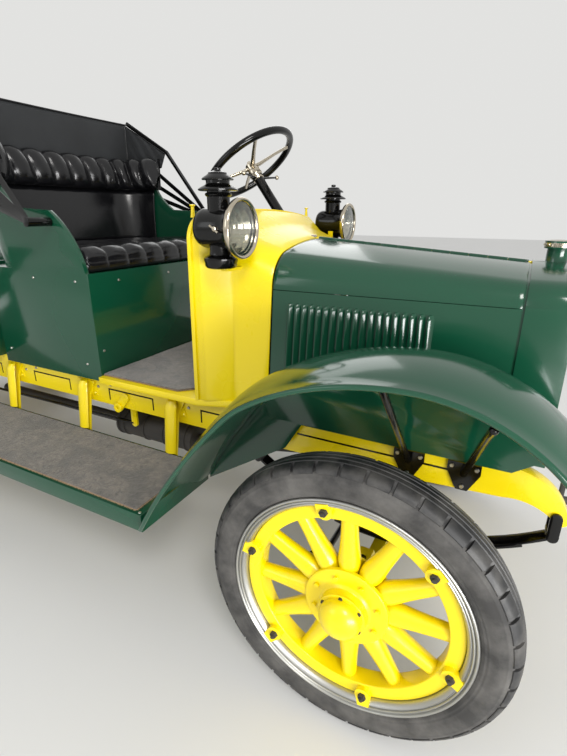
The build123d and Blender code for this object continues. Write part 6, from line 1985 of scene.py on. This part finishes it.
    def sleeves(self):
        """Dark brake rods under the rails."""
        parts = []
        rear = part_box("brake_rods")[0].x
        for side in (1, -1):
            ends = ((SEAT_FRONT_X + 0.024, side * 0.33, 0.545), (rear + 0.0005, side * 0.33, 0.51))
            parts.append(tube(ends, [0.0066, 0.0066], 14))
        return parts

    def bands(self):
        """Clamping bands and end beads of the muffler."""
        spots = (-0.866, -0.9, -1.02, -1.13, -1.25, -1.284)
        line = rounded([(0.06, -0.006), (0.066, -0.006), (0.066, 0.006), (0.06, 0.006)], 0.002)
        return [lathe(line, (FRONT_X + x, -0.25, 0.5), (1, 0, 0), 48) for x in spots]

    def eyes(self):
        """Rolled eyes at the lower ends of the brake levers."""
        ring_line = rounded([(0.0065, 0.0), (0.0205, 0.0), (0.0205, 0.012), (0.0065, 0.012)], 0.002)
        x, y, z = FRONT_X - 1.15, RAIL_Y + 0.0085, 0.652
        return [lathe(ring_line, (x, side * y, z), (0, side, 0), 32) for side in (1, -1)]

    def lever_ends(self):
        """Bright balls on the spark and gas levers."""
        centre, up = STEER_CENTRE, STEER_UP
        forward = Vector((up.z, 0, -up.x))
        parts = []
        for side in (1, -1):
            tip = centre - up * 0.072 + forward * 0.02 + Vector((0, side * 0.15, 0))
            line = [(0.0102 * sin(pi * i / 12), -0.0102 * cos(pi * i / 12)) for i in range(13)]
            parts.append(lathe(line, tip, (0, 1, 0), 20))
        return build("levers", parts, 60)


class TRUCK_OT_radiator(bpy.types.Operator):
    """Adds the radiator's tubes and fins and the ribbed filler cap"""

    bl_idname = "truck.radiator"
    bl_label = "Radiator"

    def execute(self, context):
        low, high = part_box("radiator_core")
        front = high.x
        foot = low.z + 0.012
        bar = block((front, low.y + 0.012, foot), (front + 0.0045, high.y - 0.012, low.z + 0.0132))
        fin = build("fin", [bar])
        count = int((high.z - low.z - 0.03) / 0.0085)
        fins = in_row(fin, count, (0, 0, 0.0085), "black")
        bar = block((front, low.y + 0.016, foot), (front + 0.003, low.y + 0.0185, high.z - 0.014))
        tube_part = build("tube", [bar])
        tubes = in_row(tube_part, int((high.y - low.y - 0.036) / 0.0145), (0, 0.0145, 0), "black")
        piece("radiator_fins", joined("fins", [fins, tubes]), "black", BODY_OF["radiator_core"])
        shell_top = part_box("radiator_shell")[1].z
        cap_x = FRONT_X + 0.365
        cap = [
            (0.0, 0.0), (0.0385, 0.0), (0.04, 0.003), (0.04, 0.017), (0.038, 0.021), (0.025, 0.0235),
            (0.01, 0.0245), (0.0, 0.0245),
        ]
        dome = build("cap", [lathe(rounded(cap, 0.0015), (cap_x, 0, shell_top - 0.0215), (0, 0, 1), 64)])
        ribs = around_up(24, 0.0402, cap_x, shell_top - 0.019)
        piece("filler_cap", joined("cap", [dome, ribs], 40), "nickel", BODY_OF["radiator_shell"])
        return {"FINISHED"}


def around_up(count, radius, x, z):
    """Grip ribs around an upright cap."""
    spots = []
    for i in range(count):
        turn = 2 * pi * i / count
        spot = Vector((x + radius * cos(turn), radius * sin(turn), z + 0.008))
        spots.append((spot, (cos(turn), sin(turn), 0)))
    return heads(spots, 0.0035, 0.0018, 8, "nickel", 0.7)


class TRUCK_OT_load_bed(bpy.types.Operator):
    """Adds the bed's skid strips and their bolts"""

    bl_idname = "truck.load_bed"
    bl_label = "Load bed"

    def execute(self, context):
        low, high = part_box("bed_floor")
        body = BODY_OF["bed_floor"]
        top = high.z
        start, end = low.x + 0.012, high.x - 0.012
        inner = 0.538
        pitch = 2 * inner / 8
        strip = build("strip", [prism_strip(start, end, -inner + pitch, top)])
        strips = in_row(strip, 7, (0, pitch, 0), "steel")
        piece("skid_strips", strips, "steel", body)
        spots = []
        for i in range(7):
            for k in range(9):
                x = start + 0.05 + (end - start - 0.1) * k / 8
                spots.append((Vector((x, -inner + pitch * (i + 1), top + 0.0032)), (0, 0, 1)))
        piece("skid_bolts", heads(spots, 0.0075, 0.0022, 12, "steel", 0.7), "steel", body)
        return {"FINISHED"}


def prism_strip(start, end, y, top):
    """A flat steel strip with bevelled long edges."""
    line = [(y - 0.014, top), (y - 0.011, top + 0.0034), (y + 0.011, top + 0.0034), (y + 0.014, top)]
    return prism([Vector((start, a, b)) for a, b in line], (end - start, 0, 0))


class TRUCK_PT_truck(bpy.types.Panel):
    """Lists the steps that dress the truck"""

    bl_idname = "TRUCK_PT_truck"
    bl_label = "Light truck"
    bl_space_type = "VIEW_3D"
    bl_region_type = "UI"
    bl_category = "Truck"

    def draw(self, context):
        for operator in OPERATORS:
            self.layout.operator(operator.bl_idname)


GROUPS = (
    ("truck_paints", TruckPaints),
    ("truck_wheels", WheelSizes),
    ("truck_hood", HoodSizes),
    ("truck_upholstery", UpholsterySizes),
    ("truck_stage", StageSettings),
)
OPERATORS = (
    TRUCK_OT_stage,
    TRUCK_OT_cad_finish,
    TRUCK_OT_tyres,
    TRUCK_OT_wheels,
    TRUCK_OT_hood,
    TRUCK_OT_lamps,
    TRUCK_OT_steering_wheel,
    TRUCK_OT_upholstery,
    TRUCK_OT_folded_top,
    TRUCK_OT_carpets,
    TRUCK_OT_trim,
    TRUCK_OT_radiator,
    TRUCK_OT_load_bed,
)


def register():
    """Registers the settings, the steps and the panel."""
    for name, group in GROUPS:
        bpy.utils.register_class(group)
        setattr(bpy.types.Scene, name, bpy.props.PointerProperty(type=group))
    for operator in OPERATORS:
        bpy.utils.register_class(operator)
    bpy.utils.register_class(TRUCK_PT_truck)


def unregister():
    """Takes the panel, the steps and the settings away again."""
    bpy.utils.unregister_class(TRUCK_PT_truck)
    for operator in reversed(OPERATORS):
        bpy.utils.unregister_class(operator)
    for name, group in reversed(GROUPS):
        delattr(bpy.types.Scene, name)
        bpy.utils.unregister_class(group)


def main():
    """Dresses the truck step by step."""
    register()
    for operator in OPERATORS:
        group, name = operator.bl_idname.split(".")
        getattr(getattr(bpy.ops, group), name)()


if __name__ == "__main__":
    main()
